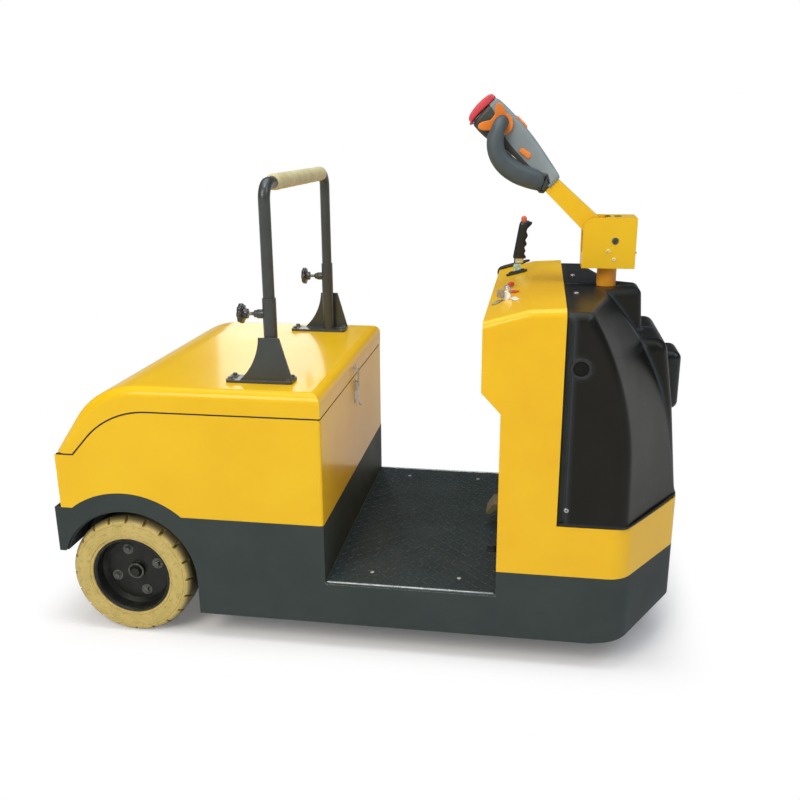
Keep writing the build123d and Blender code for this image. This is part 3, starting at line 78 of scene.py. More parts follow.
def add_node(tree: Tree, kind: str, inputs: dict | None = None, **settings) -> bpy.types.Node:
    """Adds a node, sets its options and fills its inputs.

    Args:
        tree: the tree that gets the node.
        kind: the node's type name.
        inputs: value or output socket for each input, by name or number.
        settings: the node's own options.

    Returns:
        The new node.
    """
    node = tree.nodes.new(kind)
    for option, value in settings.items():
        setattr(node, option, value)
    for key, value in (inputs or {}).items():
        if isinstance(value, Socket):
            tree.links.new(value, node.inputs[key])
        else:
            node.inputs[key].default_value = value
    return node


def calculated(tree: Tree, operation: str, *terms: Socket | float) -> Socket:
    """Result of a calculation with numbers: the operation's name, then its terms."""
    return add_node(tree, "ShaderNodeMath", dict(enumerate(terms)), operation=operation).outputs[0]


def vector(tree: Tree, operation: str, *terms: Socket | tuple, result: str = "Vector") -> Socket:
    """Result of a calculation with vectors, or its number where result is "Value"."""
    return add_node(tree, "ShaderNodeVectorMath", dict(enumerate(terms)), operation=operation).outputs[result]


def remapped(tree: Tree, value: Socket, span: tuple, onto: tuple = (0.0, 1.0),
             kind: str = "LINEAR") -> Socket:
    """Maps a span of a value onto another and holds it at the ends; kind says how it runs between."""
    return add_node(tree, "ShaderNodeMapRange", {
        "Value": value, "From Min": span[0], "From Max": span[1], "To Min": onto[0], "To Max": onto[1]},
        interpolation_type=kind).outputs[0]


def blend(tree: Tree, share: Socket, first: Socket | tuple, second: Socket | tuple) -> Socket:
    """Mixes two colours by the second one's share."""
    return add_node(tree, "ShaderNodeMix", {0: share, 6: first, 7: second}, data_type="RGBA").outputs[2]


@dataclass(frozen=True)
class Clouds:
    """A noise with features size_mm across, and the span of it that is mapped onto another."""

    size_mm: float
    detail: float
    roughness: float
    span: tuple = (0.0, 1.0)
    onto: tuple = (0.0, 1.0)

    def noise(self, tree: Tree, place: Socket) -> Socket:
        """The noise as it is, at a place's coordinates."""
        return add_node(tree, "ShaderNodeTexNoise", {
            "Vector": place, "Scale": 1 / (self.size_mm * MM), "Detail": self.detail,
            "Roughness": self.roughness}).outputs["Fac"]

    def share(self, tree: Tree, place: Socket) -> Socket:
        """The noise with its span mapped onto the other."""
        return remapped(tree, self.noise(tree, place), self.span, self.onto)


class Grain(Enum):
    """Kinds of fine relief, with the noise detail and roughness that draw them."""

    ORANGE_PEEL = (1.0, 0.4)
    TEXTURED = (5.0, 0.65)
    CAST = (8.0, 0.75)
    BRUSHED = (3.0, 0.6)
    SMOOTH = (0.0, 0.2)


@dataclass(frozen=True)
class Finish:
    """A surface: what it is made of, how it was made, what use has done to it, and highlight painted on some
    of its edges.

    The two colours are mixed by clouds mottle_mm across. The relief has features grain_mm
    across and grain_depth_mm high, drawn out by stretch. Edges are rounded over edge_mm, and
    where wear_and_sheen_colour is given it shows along them: rubbed paint on some finishes, a
    painted highlight on others. Glance tints what the surface mirrors.
    """

    name: str
    slot: str
    colour: str
    shade: str
    mottle_mm: float
    roughness: tuple
    grain: Grain = Grain.TEXTURED
    grain_mm: float = 1.2
    grain_depth_mm: float = 0.05
    metallic: float = 0.0
    ior: float = 1.5
    coat: float = 0.0
    coat_roughness: float = 0.05
    specular: float = 0.5
    glance: str = "#FFFFFF"
    edge_mm: float = 1.5
    wear_and_sheen_colour: str | None = None
    wear_and_sheen_amount: float = 0.0
    stretch: tuple = (1.0, 1.0, 1.0)
    # Patches of gloss are this much wider than the clouds of colour
    patch_ratio: float = 1 / 0.37
    # Cosine between flat and rounded normal where rubbing and painted highlight start and where they are full
    edge_cosine: tuple = (0.985, 0.86)

    def colours(self, tree: Tree, place: Socket) -> Socket:
        """Mixes the two colours by broad noise."""
        clouds = Clouds(self.mottle_mm, detail=5.0, roughness=0.62, span=(0.32, 0.68))
        return blend(tree, clouds.share(tree, place), linear(self.colour), linear(self.shade))

    def relief(self, tree: Tree, place: Socket) -> Socket:
        """Height of the finish's own grain, from nought to one."""
        drawn_out = add_node(tree, "ShaderNodeMapping", {"Vector": place, "Scale": self.stretch}).outputs[0]
        return Clouds(self.grain_mm, *self.grain.value).noise(tree, drawn_out)

    def material(self) -> bpy.types.Material:
        """The finish's material, made once and shared.

        Returns:
            The material.
        """
        found = bpy.data.materials.get(self.name)
        if found:
            return found
        made = bpy.data.materials.new(self.name)
        made.use_nodes = True
        made.diffuse_color = linear(self.colour)
        tree = made.node_tree
        tree.nodes.clear()
        place = add_node(tree, "ShaderNodeTexCoord").outputs["Object"]
        colour = self.colours(tree, place)
        edge = add_node(tree, "ShaderNodeBevel", {"Radius": self.edge_mm * MM}, samples=4).outputs[0]
        # Along rounded edges a paler colour: rubbed paint on some finishes, a painted highlight on others
        if self.wear_and_sheen_colour:
            colour = blend(tree, self.edge_wear_and_sheen_share(tree, place, edge), colour, linear(self.wear_and_sheen_colour))
        patches = Clouds(self.mottle_mm * self.patch_ratio, detail=6.0, roughness=0.7, span=(0.3, 0.7),
                         onto=self.roughness)
        bump = add_node(tree, "ShaderNodeBump", {
            "Height": self.relief(tree, place), "Normal": edge, "Strength": 1.0,
            "Distance": self.grain_depth_mm * MM})
        shader = add_node(tree, "ShaderNodeBsdfPrincipled", {
            "Base Color": colour, "Roughness": patches.share(tree, place), "Normal": bump.outputs[0],
            "Metallic": self.metallic, "IOR": self.ior, "Specular IOR Level": self.specular,
            "Specular Tint": linear(self.glance),
            "Coat Weight": self.coat, "Coat Roughness": self.coat_roughness})
        add_node(tree, "ShaderNodeOutputMaterial", {"Surface": shader.outputs[0]})
        return made

    def edge_wear_and_sheen_share(self, tree: Tree, place: Socket, soft: Socket) -> Socket:
        """Where the edge colour shows, rubbed paint on some finishes and a painted highlight on others: the
        rounded normal leaves the flat one, broken by noise.

        Args:
            tree: the material's nodes.
            place: the object coordinates.
            soft: the normal rounded over the edges.

        Returns:
            The edge colour's share.
        """
        flat = add_node(tree, "ShaderNodeNewGeometry").outputs["Normal"]
        cosine = vector(tree, "DOT_PRODUCT", soft, flat, result="Value")
        opened = 0.3 * self.wear_and_sheen_amount
        breakup = Clouds(size_mm=9.0, detail=6.0, roughness=0.7, span=(0.62 - opened, 0.7 - opened))
        rounding = remapped(tree, cosine, self.edge_cosine)
        return calculated(tree, "MULTIPLY", rounding, breakup.share(tree, place))


@dataclass(frozen=True)
class TyreRubber(Finish):
    """Non-marking solid tyre compound, press-moulded: cream, with dirt, painted shade on the tread, and fine
    rings.

    The rings follow the distance from the axle, so the eye reads a turned mould, and between
    the two grime_and_shade_radii_mm the tread turns grey: ground dirt and painted shade.
    Scuffs are scuff_mm apart outward and long around.
    """

    ring_mm: float = 2.4
    grime_and_shade: str = "#615A3E"
    grime_and_shade_radii_mm: tuple = (180.0, 190.0)
    scuff_mm: float = 3.2
    scuffs_per_radian: float = 5.0

    def colours(self, tree: Tree, place: Socket) -> Socket:
        """Adds specks, ground dirt and painted shade on the tread, and scuffs to the mixed cream.

        Args:
            tree: the material's nodes.
            place: the object coordinates.

        Returns:
            The colour.
        """
        cream = Finish.colours(self, tree, place)
        radius = self.radius(tree, place)
        specks = Clouds(size_mm=11.0, detail=9.0, roughness=0.78, span=(0.54, 0.7), onto=(0.0, 0.75))
        # Between the two radii the tread darkens: ground dirt and painted shade
        clean, dark = self.grime_and_shade_radii_mm
        tread = remapped(tree, radius, (clean * MM, dark * MM), (0.0, 0.9))
        share = calculated(tree, "MAXIMUM", specks.share(tree, place), tread)
        share = calculated(tree, "MAXIMUM", share, self.scuffs(tree, place, radius))
        return blend(tree, share, cream, linear(self.grime_and_shade))

    def scuffs(self, tree: Tree, place: Socket, radius: Socket) -> Socket:
        """Broken lines that run round the wheel: noise that is fine outward and long around.

        Args:
            tree: the material's nodes.
            place: the object coordinates.
            radius: the distance from the axle.

        Returns:
            The share of grime.
        """
        apart = add_node(tree, "ShaderNodeSeparateXYZ", {0: place})
        x = calculated(tree, "ADD", apart.outputs[0], -REAR_AXLE[0] * MM)
        z = calculated(tree, "ADD", apart.outputs[2], -REAR_AXLE[1] * MM)
        along = calculated(tree, "MULTIPLY", calculated(tree, "ARCTAN2", x, z), self.scuffs_per_radian)
        outward = calculated(tree, "MULTIPLY", radius, 1 / (self.scuff_mm * MM))
        drawn = add_node(tree, "ShaderNodeCombineXYZ", {0: outward, 1: along}).outputs[0]
        # The drawn coordinates are scaled already, so the noise's features are one unit across
        lines = Clouds(size_mm=1 / MM, detail=4.0, roughness=0.7, span=(0.55, 0.68), onto=(0.0, 0.7))
        return lines.share(tree, drawn)

    def radius(self, tree: Tree, place: Socket) -> Socket:
        """Distance from the axle: the length of the place with its sideways part taken out."""
        centred = add_node(tree, "ShaderNodeMapping", {
            "Vector": place, "Location": (-REAR_AXLE[0] * MM, 0, -REAR_AXLE[1] * MM), "Scale": (1, 0, 1)})
        return vector(tree, "LENGTH", centred.outputs[0], result="Value")

    def relief(self, tree: Tree, place: Socket) -> Socket:
        """Noise on top of fine rings, a sine of the distance from the axle."""
        wave = calculated(tree, "MULTIPLY", self.radius(tree, place), 2 * math.pi / (self.ring_mm * MM))
        return calculated(tree, "MULTIPLY_ADD", calculated(tree, "SINE", wave), 0.25,
                          Finish.relief(self, tree, place))


@dataclass(frozen=True)
class ClearPlastic(Finish):
    """Clear moulded plastic: the same shader, let through."""

    def material(self) -> bpy.types.Material:
        """The finish's material with its shader made to let light through.

        Returns:
            The material.
        """
        made = Finish.material(self)
        shader = next(node for node in made.node_tree.nodes if node.type == "BSDF_PRINCIPLED")
        shader.inputs["Transmission Weight"].default_value = 1.0
        return made


# Two-pack enamel, sprayed: a deep yellow under a clear gloss, with faint orange peel; its paler yellow along
# edges is a painted highlight
YELLOW_ENAMEL = Finish("yellow_two_pack_enamel", "yellow_paint", "#EFC11A", "#EABA16", 260, (0.26, 0.38),
                       Grain.ORANGE_PEEL, 3.0, 0.03, coat=0.3, coat_roughness=0.1, specular=0.2,
                       wear_and_sheen_colour="#F3CE62", wear_and_sheen_amount=0.25)
# The same enamel where hands and sun have turned it warmer; its paler edges are a painted highlight
WARM_ENAMEL = Finish("yellow_enamel_console", "yellow_paint", "#F2C11A", "#ECB616", 240, (0.28, 0.4),
                     Grain.ORANGE_PEEL, 3.0, 0.03, coat=0.3, coat_roughness=0.1, specular=0.2,
                     wear_and_sheen_colour="#F6D577", wear_and_sheen_amount=0.35)
# The column, brush-painted apart: a more orange batch, its colour raised above the paint's own as painted
# light where the housing shades it
ORANGE_ENAMEL = Finish("orange_yellow_brushed_enamel", "yellow_paint", "#FBB030", "#F0A229", 90, (0.3, 0.42),
                       Grain.ORANGE_PEEL, 3.0, 0.05, coat=0.2, coat_roughness=0.1, specular=0.2, edge_mm=1.0)
# Chassis paint, sprayed satin: green-grey with rubbed edges
CHASSIS_PAINT = Finish("grey_satin_chassis_paint", "grey_paint", "#3A4341", "#343C3B", 190, (0.46, 0.62),
                       Grain.TEXTURED, 1.6, 0.06, specular=0.24, wear_and_sheen_colour="#6A7271", wear_and_sheen_amount=0.4, edge_mm=2.0)
# Acrylonitrile cover, vacuum-formed: black, soft gloss with slow waves left by forming; the blue-grey along
# its rounded edges is a painted highlight
COVER_PLASTIC = Finish("black_vacuum_formed_abs", "black_cover", "#131312", "#191815", 140, (0.26, 0.38),
                       Grain.ORANGE_PEEL, 30.0, 0.1, specular=0.3, glance="#FFFCEC", edge_mm=22.0,
                       wear_and_sheen_colour="#474F55", wear_and_sheen_amount=1.5)
# Cast tyre of the driven wheel: dark polyurethane, matt from the floor
DRIVE_TREAD = Finish("cast_polyurethane_tread", "drive_tread", "#5A4A33", "#4A3D2B", 40, (0.55, 0.75),
                     Grain.CAST, 2.0, 0.12)
# Rear tyres: cream compound, pressed
TYRE_CREAM = TyreRubber("pressed_non_marking_rubber", "tyre_compound", "#CDB76C", "#BFA85C", 52, (0.55, 0.72),
                        Grain.CAST, 2.4, 0.12)
# Wheel rims, stove enamelled black over pressed steel, dull with road dust
RIM_ENAMEL = Finish("black_stove_enamel", "rim_paint", "#161816", "#262720", 32, (0.24, 0.5),
                    Grain.TEXTURED, 1.5, 0.08, specular=0.4, wear_and_sheen_colour="#73756F", wear_and_sheen_amount=0.5)
# Mild steel in matt black oxide: bolts, axle and shafts
DARK_STEEL = Finish("black_oxide_steel", "dark_steel", "#2B2D2D", "#3A3936", 30, (0.35, 0.55),
                    Grain.BRUSHED, 0.8, 0.04, metallic=0.75, wear_and_sheen_colour="#8B8B86", wear_and_sheen_amount=0.4)
# Phosphated steel with old grease: olive, half matt
OLIVE_STEEL = Finish("phosphated_steel", "dark_steel", "#5E5A45", "#4B4838", 8, (0.4, 0.55),
                     Grain.BRUSHED, 0.6, 0.04, metallic=0.4, edge_mm=0.6)
# Forged nuts, bolts and washers, scuffed: mid grey, lightened, with bright corners that are scuffs and
# painted glints
SCUFFED_GLINTING_STEEL = Finish("scuffed_forged_steel_painted_glints", "dark_steel", "#74766F", "#4A4C48", 8, (0.24, 0.42),
                       Grain.CAST, 1.0, 0.06, metallic=0.5, wear_and_sheen_colour="#D0D1CC", wear_and_sheen_amount=0.8, edge_mm=0.9)
# Zinc-plated pressings and screws: pale, bright, faintly blue
ZINC = Finish("zinc_plated_steel", "bare_steel", "#D4D6D3", "#BFC2BE", 16, (0.22, 0.4),
              Grain.BRUSHED, 0.5, 0.03, metallic=0.6, edge_mm=0.6)
# Yellow-passivated zinc: pale straw, half bright; the pale straw also stands as a painted highlight
STRAW_HIGHLIGHT_ZINC = Finish("straw_zinc_painted_highlight", "bare_steel", "#F4E9BE", "#E6D89C", 10, (0.25, 0.4),
                    Grain.BRUSHED, 0.5, 0.03, metallic=0.15, edge_mm=0.6)
# Turned studs and pins, left bare and oiled
BRIGHT_STEEL = Finish("turned_bright_steel", "bright_stud", "#B9B7AF", "#9D9B93", 14, (0.18, 0.32),
                      Grain.BRUSHED, 0.5, 0.03, metallic=1.0, edge_mm=0.6, stretch=(6, 1, 1))
# Powder-coated tube and brackets of the backrest: green-grey, half gloss; its pale edges are wear and painted
# highlight
BRACKET_COAT = Finish("grey_powder_coat", "dark_steel", "#3F4441", "#383D3A", 70, (0.26, 0.4),
                      Grain.ORANGE_PEEL, 1.8, 0.06, coat=0.3, coat_roughness=0.16, wear_and_sheen_colour="#8F948E", wear_and_sheen_amount=0.6)
# Sleeve of the backrest, turned from cream foam with a closed skin, handled and soiled
SLEEVE_FOAM = Finish("cream_closed_cell_foam", "cream_grip", "#CFC79D", "#BFB481", 34, (0.5, 0.68),
                     Grain.TEXTURED, 2.2, 0.09, stretch=(1, 0.35, 1))
# Tiller head, injection-moulded nylon, mid grey with a fine spark-eroded texture
HEAD_NYLON = Finish("grey_moulded_nylon", "head_grey", "#828C8C", "#7A8485", 50, (0.42, 0.55),
                    Grain.TEXTURED, 0.9, 0.05, edge_mm=2.0)
# Handles and lower shell: softer, darker grip compound
GRIP_NYLON = Finish("dark_moulded_grip", "handle_grey", "#4B5659", "#434D50", 45, (0.45, 0.6),
                    Grain.TEXTURED, 0.9, 0.06, edge_mm=2.0)
# Underside shell and arm collar: the same nylon, nearly black, oiled by hands
LOWER_NYLON = Finish("dark_moulded_nylon_shell", "handle_grey", "#3B403C", "#333834", 45, (0.36, 0.52),
                     Grain.TEXTURED, 0.9, 0.05, edge_mm=2.0)
# Thumb controls: orange acetal, moulded and slightly waxy
ORANGE_ACETAL = Finish("orange_acetal", "orange_plastic", "#F08B30", "#E87C22", 20, (0.28, 0.4),
                       Grain.SMOOTH, 1.2, 0.02, edge_mm=1.2)
# Release tip of the brake lever: coral acetal
CORAL_ACETAL = Finish("coral_acetal", "red_plastic", "#DE6A3E", "#D55C33", 14, (0.3, 0.42),
                      Grain.SMOOTH, 1.2, 0.02, edge_mm=1.0)
# Safety button: red moulded shell
RED_ACETAL = Finish("red_moulded_shell", "red_plastic", "#D2424B", "#C93A43", 22, (0.35, 0.48),
                    Grain.SMOOTH, 1.4, 0.03, edge_mm=1.5)
# Knobs, lever grip and lamp pod: black phenolic or hard rubber
BLACK_MOULDING = Finish("black_moulded_phenolic", "black_plastic", "#191A1A", "#222322", 30, (0.25, 0.42),
                        Grain.SMOOTH, 1.4, 0.03, edge_mm=1.2)
# Clamp knobs: polished phenolic, lighter grey than the other black mouldings as a painted sheen
KNOB_PHENOLIC = Finish("polished_phenolic", "black_plastic", "#2B2D2C", "#353634", 16, (0.2, 0.34),
                       Grain.SMOOTH, 1.4, 0.03, coat=0.6, coat_roughness=0.1, edge_mm=1.4)
# Soft black rubber: seal, boot and edging
SOFT_RUBBER = Finish("black_extruded_rubber", "seal_rubber", "#232422", "#2B2B28", 25, (0.55, 0.72),
                     Grain.TEXTURED, 1.0, 0.05, edge_mm=1.0)
# Grommet rubber, rubbed pale on its crest
RUBBED_RUBBER = Finish("rubbed_grommet_rubber", "seal_rubber", "#262723", "#30302A", 18, (0.36, 0.5),
                       Grain.TEXTURED, 1.0, 0.05, edge_mm=1.0)
# Near-black matt finish for discs and plates set in holes and slots: painted shade
SHADE_BLACK = Finish("painted_shade_black", "seal_rubber", "#141513", "#1A1A18", 12, (0.6, 0.8),
                   Grain.CAST, 1.6, 0.2, specular=0.2, edge_mm=0.5)
# Chequer plate under worn grey paint, rolled steel: satin; its blue tint is a painted sky reflection, and its
# bright rims and tops are worn steel and painted glints
TREAD_PLATE = Finish("painted_rolled_tread_plate", "anti_slip", "#353F41", "#2D3638", 85, (0.26, 0.46),
                     Grain.TEXTURED, 1.8, 0.06, specular=0.35, wear_and_sheen_colour="#B9BDB9", wear_and_sheen_amount=0.9, edge_mm=2.2)
# The raised bars of that plate, rubbed by boots, and lightened with pale rims as painted glints
TREAD_BARS = Finish("rubbed_glinting_tread_bars", "anti_slip", "#4C5756", "#343D3C", 24, (0.2, 0.34),
                    Grain.TEXTURED, 1.0, 0.04, metallic=0.3, wear_and_sheen_colour="#B2BAB8", wear_and_sheen_amount=0.9, edge_mm=0.6)
# Folded edge of the step, its paint walked off: bare steel with grey left in patches, made pale as a painted
# highlight
WORN_HIGHLIGHT_EDGE = Finish("walked_bare_steel_edge_painted_highlight", "anti_slip", "#BCC4C4", "#838B8A", 30, (0.26, 0.44),
                   Grain.BRUSHED, 1.2, 0.05, metallic=0.5, edge_mm=0.8)
# Battery case: ribbed polypropylene, dusty
BATTERY_CASE = Finish("dusty_polypropylene", "battery_case", "#3A3C3D", "#4B4A46", 90, (0.5, 0.7),
                      Grain.CAST, 3.0, 0.1)
# Gear case: cast iron under black paint
DRIVE_IRON = Finish("painted_cast_iron", "drive_iron", "#2C2E2F", "#343331", 40, (0.45, 0.65),
                    Grain.CAST, 3.5, 0.2, wear_and_sheen_colour="#5E5A54", wear_and_sheen_amount=0.3)
# Lamp reflector: vacuum-metallised plastic
MIRROR_COAT = Finish("vacuum_metallised_reflector", "lamp_glass", "#DADDE0", "#C9CDD1", 30, (0.08, 0.16),
                     Grain.SMOOTH, 6.0, 0.05, metallic=1.0)
# Lamp face: clear acrylic, moulded, with a faint ripple
CLEAR_FACE = ClearPlastic("clear_moulded_acrylic", "lamp_glass", "#F4F6F7", "#EEF1F2", 40, (0.03, 0.07),
                          Grain.SMOOTH, 7.0, 0.12)
# Blank tags in white, red, grey and brown film, and the green band under the brake lever
WHITE_TAG = Finish("white_plastic_tag", "cream_grip", "#ECE9E0", "#DAD6CB", 12, (0.35, 0.5),
                   Grain.SMOOTH, 1.5, 0.03)
RED_TAG = Finish("red_plastic_tag", "red_plastic", "#C8483A", "#B53E33", 12, (0.35, 0.5),
                 Grain.SMOOTH, 1.5, 0.03)
GREY_TAG = Finish("grey_plastic_tag", "head_grey", "#A9A08C", "#8F8674", 12, (0.4, 0.55),
                  Grain.SMOOTH, 1.5, 0.03)
BROWN_TAG = Finish("brown_plastic_tag", "head_grey", "#9A8A6A", "#7E6B4E", 7, (0.4, 0.55),
                   Grain.SMOOTH, 1.5, 0.03)
GREEN_BAND = Finish("green_plastic_band", "handle_grey", "#DCE6DD", "#2E9873", 6, (0.35, 0.5),
                    Grain.SMOOTH, 1.5, 0.03)
# Pedal pad: olive rubber over a steel tongue
PEDAL_RUBBER = Finish("olive_pedal_rubber", "seal_rubber", "#6B6246", "#5C543C", 20, (0.5, 0.68),
                      Grain.TEXTURED, 1.2, 0.08, edge_mm=1.2)

NODE_FINISH = {
    CHASSIS_PAINT: ("chassis_frame", "wheelhouses", "tow_plate"),
    YELLOW_ENAMEL: ("battery_box", "lid", "tiller_housing", "tiller_arm"),
    ORANGE_ENAMEL: ("steering_column",),
    WARM_ENAMEL: ("front_body",),
    COVER_PLASTIC: ("cover_right", "cover_left"),
    BLACK_MOULDING: ("head_lamp", "clamp_knobs", "handbrake_grip"),
    SOFT_RUBBER: ("lid_seal",),
    TREAD_PLATE: ("platform_plate",),
    TYRE_CREAM: ("tyre_right", "tyre_left"),
    RIM_ENAMEL: ("rim_right", "rim_left"),
    DARK_STEEL: ("rear_axle", "handbrake_shaft", "drive_hub", "tow_jaw"),
    ZINC: ("latch", "latch_keeper", "hinge_leaves", "lid_knuckles", "key_switch"),
    BRIGHT_STEEL: ("clamp_studs", "tow_pin"),
    BRACKET_COAT: ("backrest_brackets", "backrest_bar"),
    SLEEVE_FOAM: ("backrest_grip",),
    BATTERY_CASE: ("battery",),
    DRIVE_IRON: ("drive_gearbox", "drive_motor"),
    DRIVE_TREAD: ("drive_wheel",),
    PEDAL_RUBBER: ("foot_pedal",),
    HEAD_NYLON: ("head_upper",),
    LOWER_NYLON: ("head_lower",),
    GRIP_NYLON: ("head_handles",),
    ORANGE_ACETAL: ("butterflies",),
    RED_ACETAL: ("reverse_button",),
    MIRROR_COAT: ("head_lamp_lens",),
}


def dress_nodes() -> int:
    """Gives every carried-over solid its finish.

    Returns:
        How many solids were dressed.
    """
    for finish, names in NODE_FINISH.items():
        for name in names:
            NODES[name].data.materials.clear()
            NODES[name].data.materials.append(finish.material())
    return sum(len(names) for names in NODE_FINISH.values())


# Shapes: grids of points in millimetres


class Crease(Enum):
    """Angle in degrees past which an edge stays sharp, by the kind of form."""

    PLATE = 32.0
    SHELL = 38.0
    CUT = 40.0
    LOBED = 45.0
    MOULDED = 50.0
    TURNED = 60.0


@dataclass
class Skin:
    """A stretch of surface: points in millimetres, its four-sided faces and its end faces."""

    points: Array
    quads: Array
    ends: tuple = ()


@dataclass(frozen=True)
class Seat:
    """Where a shape stands: an origin in millimetres, the way its top points and its first direction."""

    origin: tuple = (0.0, 0.0, 0.0)
    top: tuple = (0.0, 0.0, 1.0)
    first: tuple = (1.0, 0.0, 0.0)

    def put(self, local: Array) -> Array:
        """Carries local points to the seat: origin + x first + y (top x first) + z top.

        Args:
            local: points whose last axis is local x, y, z.

        Returns:
            The points in the object's frame.
        """
        top = np.array(self.top) / np.linalg.norm(self.top)
        first = np.array(self.first) - top * np.dot(self.first, top)
        first = first / np.linalg.norm(first)
        return np.array(self.origin) + np.asarray(local) @ np.array([first, np.cross(top, first), top])


def skin(grid: Array, ring: bool = False) -> Skin:
    """Covers rows of closed outlines with four-sided faces.

    Point j of row i joins point j of row i + 1 and the points j + 1 of both, counted round. An
    end row that isn't a single point is closed by one face, unless the rows form a ring.

    Args:
        grid: points, as rows by columns by three.
        ring: whether the last row joins the first.

    Returns:
        The surface.
    """
    rows, columns = grid.shape[:2]
    number = np.arange(rows * columns).reshape(rows, columns)
    loop = np.vstack((number, number[:1])) if ring else number
    loop = np.column_stack((loop, loop[:, :1]))
    quads = np.stack((loop[:-1, :-1], loop[1:, :-1], loop[1:, 1:], loop[:-1, 1:]), axis=-1)
    open_rows = () if ring else [end for end in (0, -1) if np.ptp(grid[end], axis=0).max() > 1e-3]
    ends = tuple(number[end] for end in open_rows)
    return Skin(grid.reshape(-1, 3), quads.reshape(-1, 4), ends)


def build_piece(name: str, skins: list, finish: Finish, body: str, replaces: tuple = (),
                crease: Crease = Crease.PLATE) -> bpy.types.Object:
    """Joins skins into one piece, closes its seams, turns its faces outward and dresses it.

    Args:
        name: the piece's name.
        skins: its surfaces.
        finish: what it is made of.
        body: the body that it rides on.
        replaces: the solids that it stands for.
        crease: the angle past which an edge stays sharp.

    Returns:
        The piece.
    """
    starts = np.cumsum([0] + [len(part.points) for part in skins])
    faces = [face for start, part in zip(starts, skins)
             for face in (part.quads + start).tolist() + [(end + start).tolist() for end in part.ends]]
    mesh = bpy.data.meshes.new(name)
    mesh.from_pydata((np.concatenate([part.points for part in skins]) * MM).tolist(), [], faces)
    work = bmesh.new()
    work.from_mesh(mesh)
    bmesh.ops.remove_doubles(work, verts=work.verts, dist=2e-6)
    bmesh.ops.recalc_face_normals(work, faces=work.faces)
    work.to_mesh(mesh)
    work.free()
    mesh.polygons.foreach_set("use_smooth", np.ones(len(mesh.polygons), bool))
    mesh.set_sharp_from_angle(angle=math.radians(crease.value))
    mesh.materials.append(finish.material())
    piece = bpy.data.objects.new(name, mesh)
    bpy.context.scene.collection.objects.link(piece)
    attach(piece, body)
    if replaces:
        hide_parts(*replaces)
    log.info("%s: %d faces on %s", name, len(mesh.polygons), body)
    return piece


def turned(seat: Seat, profile: tuple, columns: int = 24, sides: int = 6, lobes: int = 0,
           wave: float = 0.0, ring: bool = False) -> Skin:
    """Turns a profile about the seat's top direction.

    At angle t a row of radius r lies at r (1 - f + f p(t)) (1 + g w cos(lobes t)). Here p(t) is
    cos(pi / sides) / cos(t mod (2 pi / sides) - pi / sides), the outline of a regular polygon,
    f the row's share of flat sides, w the wave and g the row's share of it.

    Args:
        seat: where the axis stands.
        profile: rows of radius, height and, where given, f and g.
        columns: points round the axis.
        sides: number of flats.
        lobes: number of lobes.
        wave: height of the lobes as a share of the radius.
        ring: whether the profile closes on itself instead of at the axis.

    Returns:
        The surface.
    """
    rows = np.array([(*row, 0.0, 0.0)[:4] for row in profile], float)
    angle = np.arange(columns) * 2 * np.pi / columns
    polygon = np.cos(np.pi / sides) / np.cos(angle % (2 * np.pi / sides) - np.pi / sides)
    radius = (rows[:, :1] * (1 + rows[:, 2:3] * (polygon - 1))
              * (1 + rows[:, 3:] * wave * np.cos(lobes * angle)))
    height = np.broadcast_to(rows[:, 1:2], radius.shape)
    return skin(seat.put(np.stack((radius * np.cos(angle), radius * np.sin(angle), height), axis=-1)), ring)


def bolt(seat: Seat, across: float, head: float, washer: float = 1.6) -> Skin:
    """A six-sided head, across millimetres over its flats, with a domed top, on a washer.

    Args:
        seat: where it stands.
        across: width over the flats.
        head: height of the head.
        washer: thickness of the washer.

    Returns:
        The surface.
    """
    corner = across / 2 / math.cos(math.pi / 6)
    rim = across * 1.02
    return turned(seat, (
        (rim, -0.6), (rim, 0.7 * washer), (0.97 * rim, washer), (corner, washer, 1),
        (corner, washer + 0.8 * head, 1), (0.9 * corner, washer + head, 0.5),
        (0.5 * corner, washer + 1.03 * head), (0, washer + 1.05 * head)))


def screw(seat: Seat, radius: float, height: float) -> Skin:
    """A pan head of a radius and a height, with a six-sided socket."""
    return turned(seat, (
        (radius, -0.5), (radius, 0.45 * height), (0.93 * radius, 0.75 * height),
        (0.75 * radius, 0.95 * height), (0.5 * radius, height), (0.46 * radius, height, 1),
        (0.42 * radius, 0.35 * height, 1), (0, 0.3 * height, 1)))


def rounded(corners: tuple, radius: float | tuple, steps: int = 5) -> Array:
    """Outline of a polygon whose corners are arcs.

    An arc of radius r between sides that meet at angle q starts r / tan(q / 2) from the corner
    P. Its points are ((1 - s)^2 A + 2 w s (1 - s) P + s^2 B) over the weights' sum, with
    w = sin(q / 2), for s from nought to one.

    Args:
        corners: the polygon's corners in order.
        radius: the corners' radius, or one for each.
        steps: points in each arc.

    Returns:
        The outline's points, as rows of two.
    """
    corner = np.array(corners, float)
    before = np.roll(corner, 1, axis=0) - corner
    after = np.roll(corner, -1, axis=0) - corner
    before = before / np.linalg.norm(before, axis=1, keepdims=True)
    after = after / np.linalg.norm(after, axis=1, keepdims=True)
    half = np.arccos(np.clip((before * after).sum(axis=1), -1, 1)) / 2
    reach = (np.broadcast_to(radius, half.shape) / np.tan(half))[:, None]
    start, stop = (corner + before * reach)[:, None], (corner + after * reach)[:, None]
    share = np.linspace(0, 1, steps)[None, :, None]
    weight = np.sin(half)[:, None, None]
    lean = [(1 - share) ** 2, 2 * weight * share * (1 - share), share ** 2]
    arc = (lean[0] * start + lean[1] * corner[:, None] + lean[2] * stop) / sum(lean)
    return arc.reshape(-1, 2)


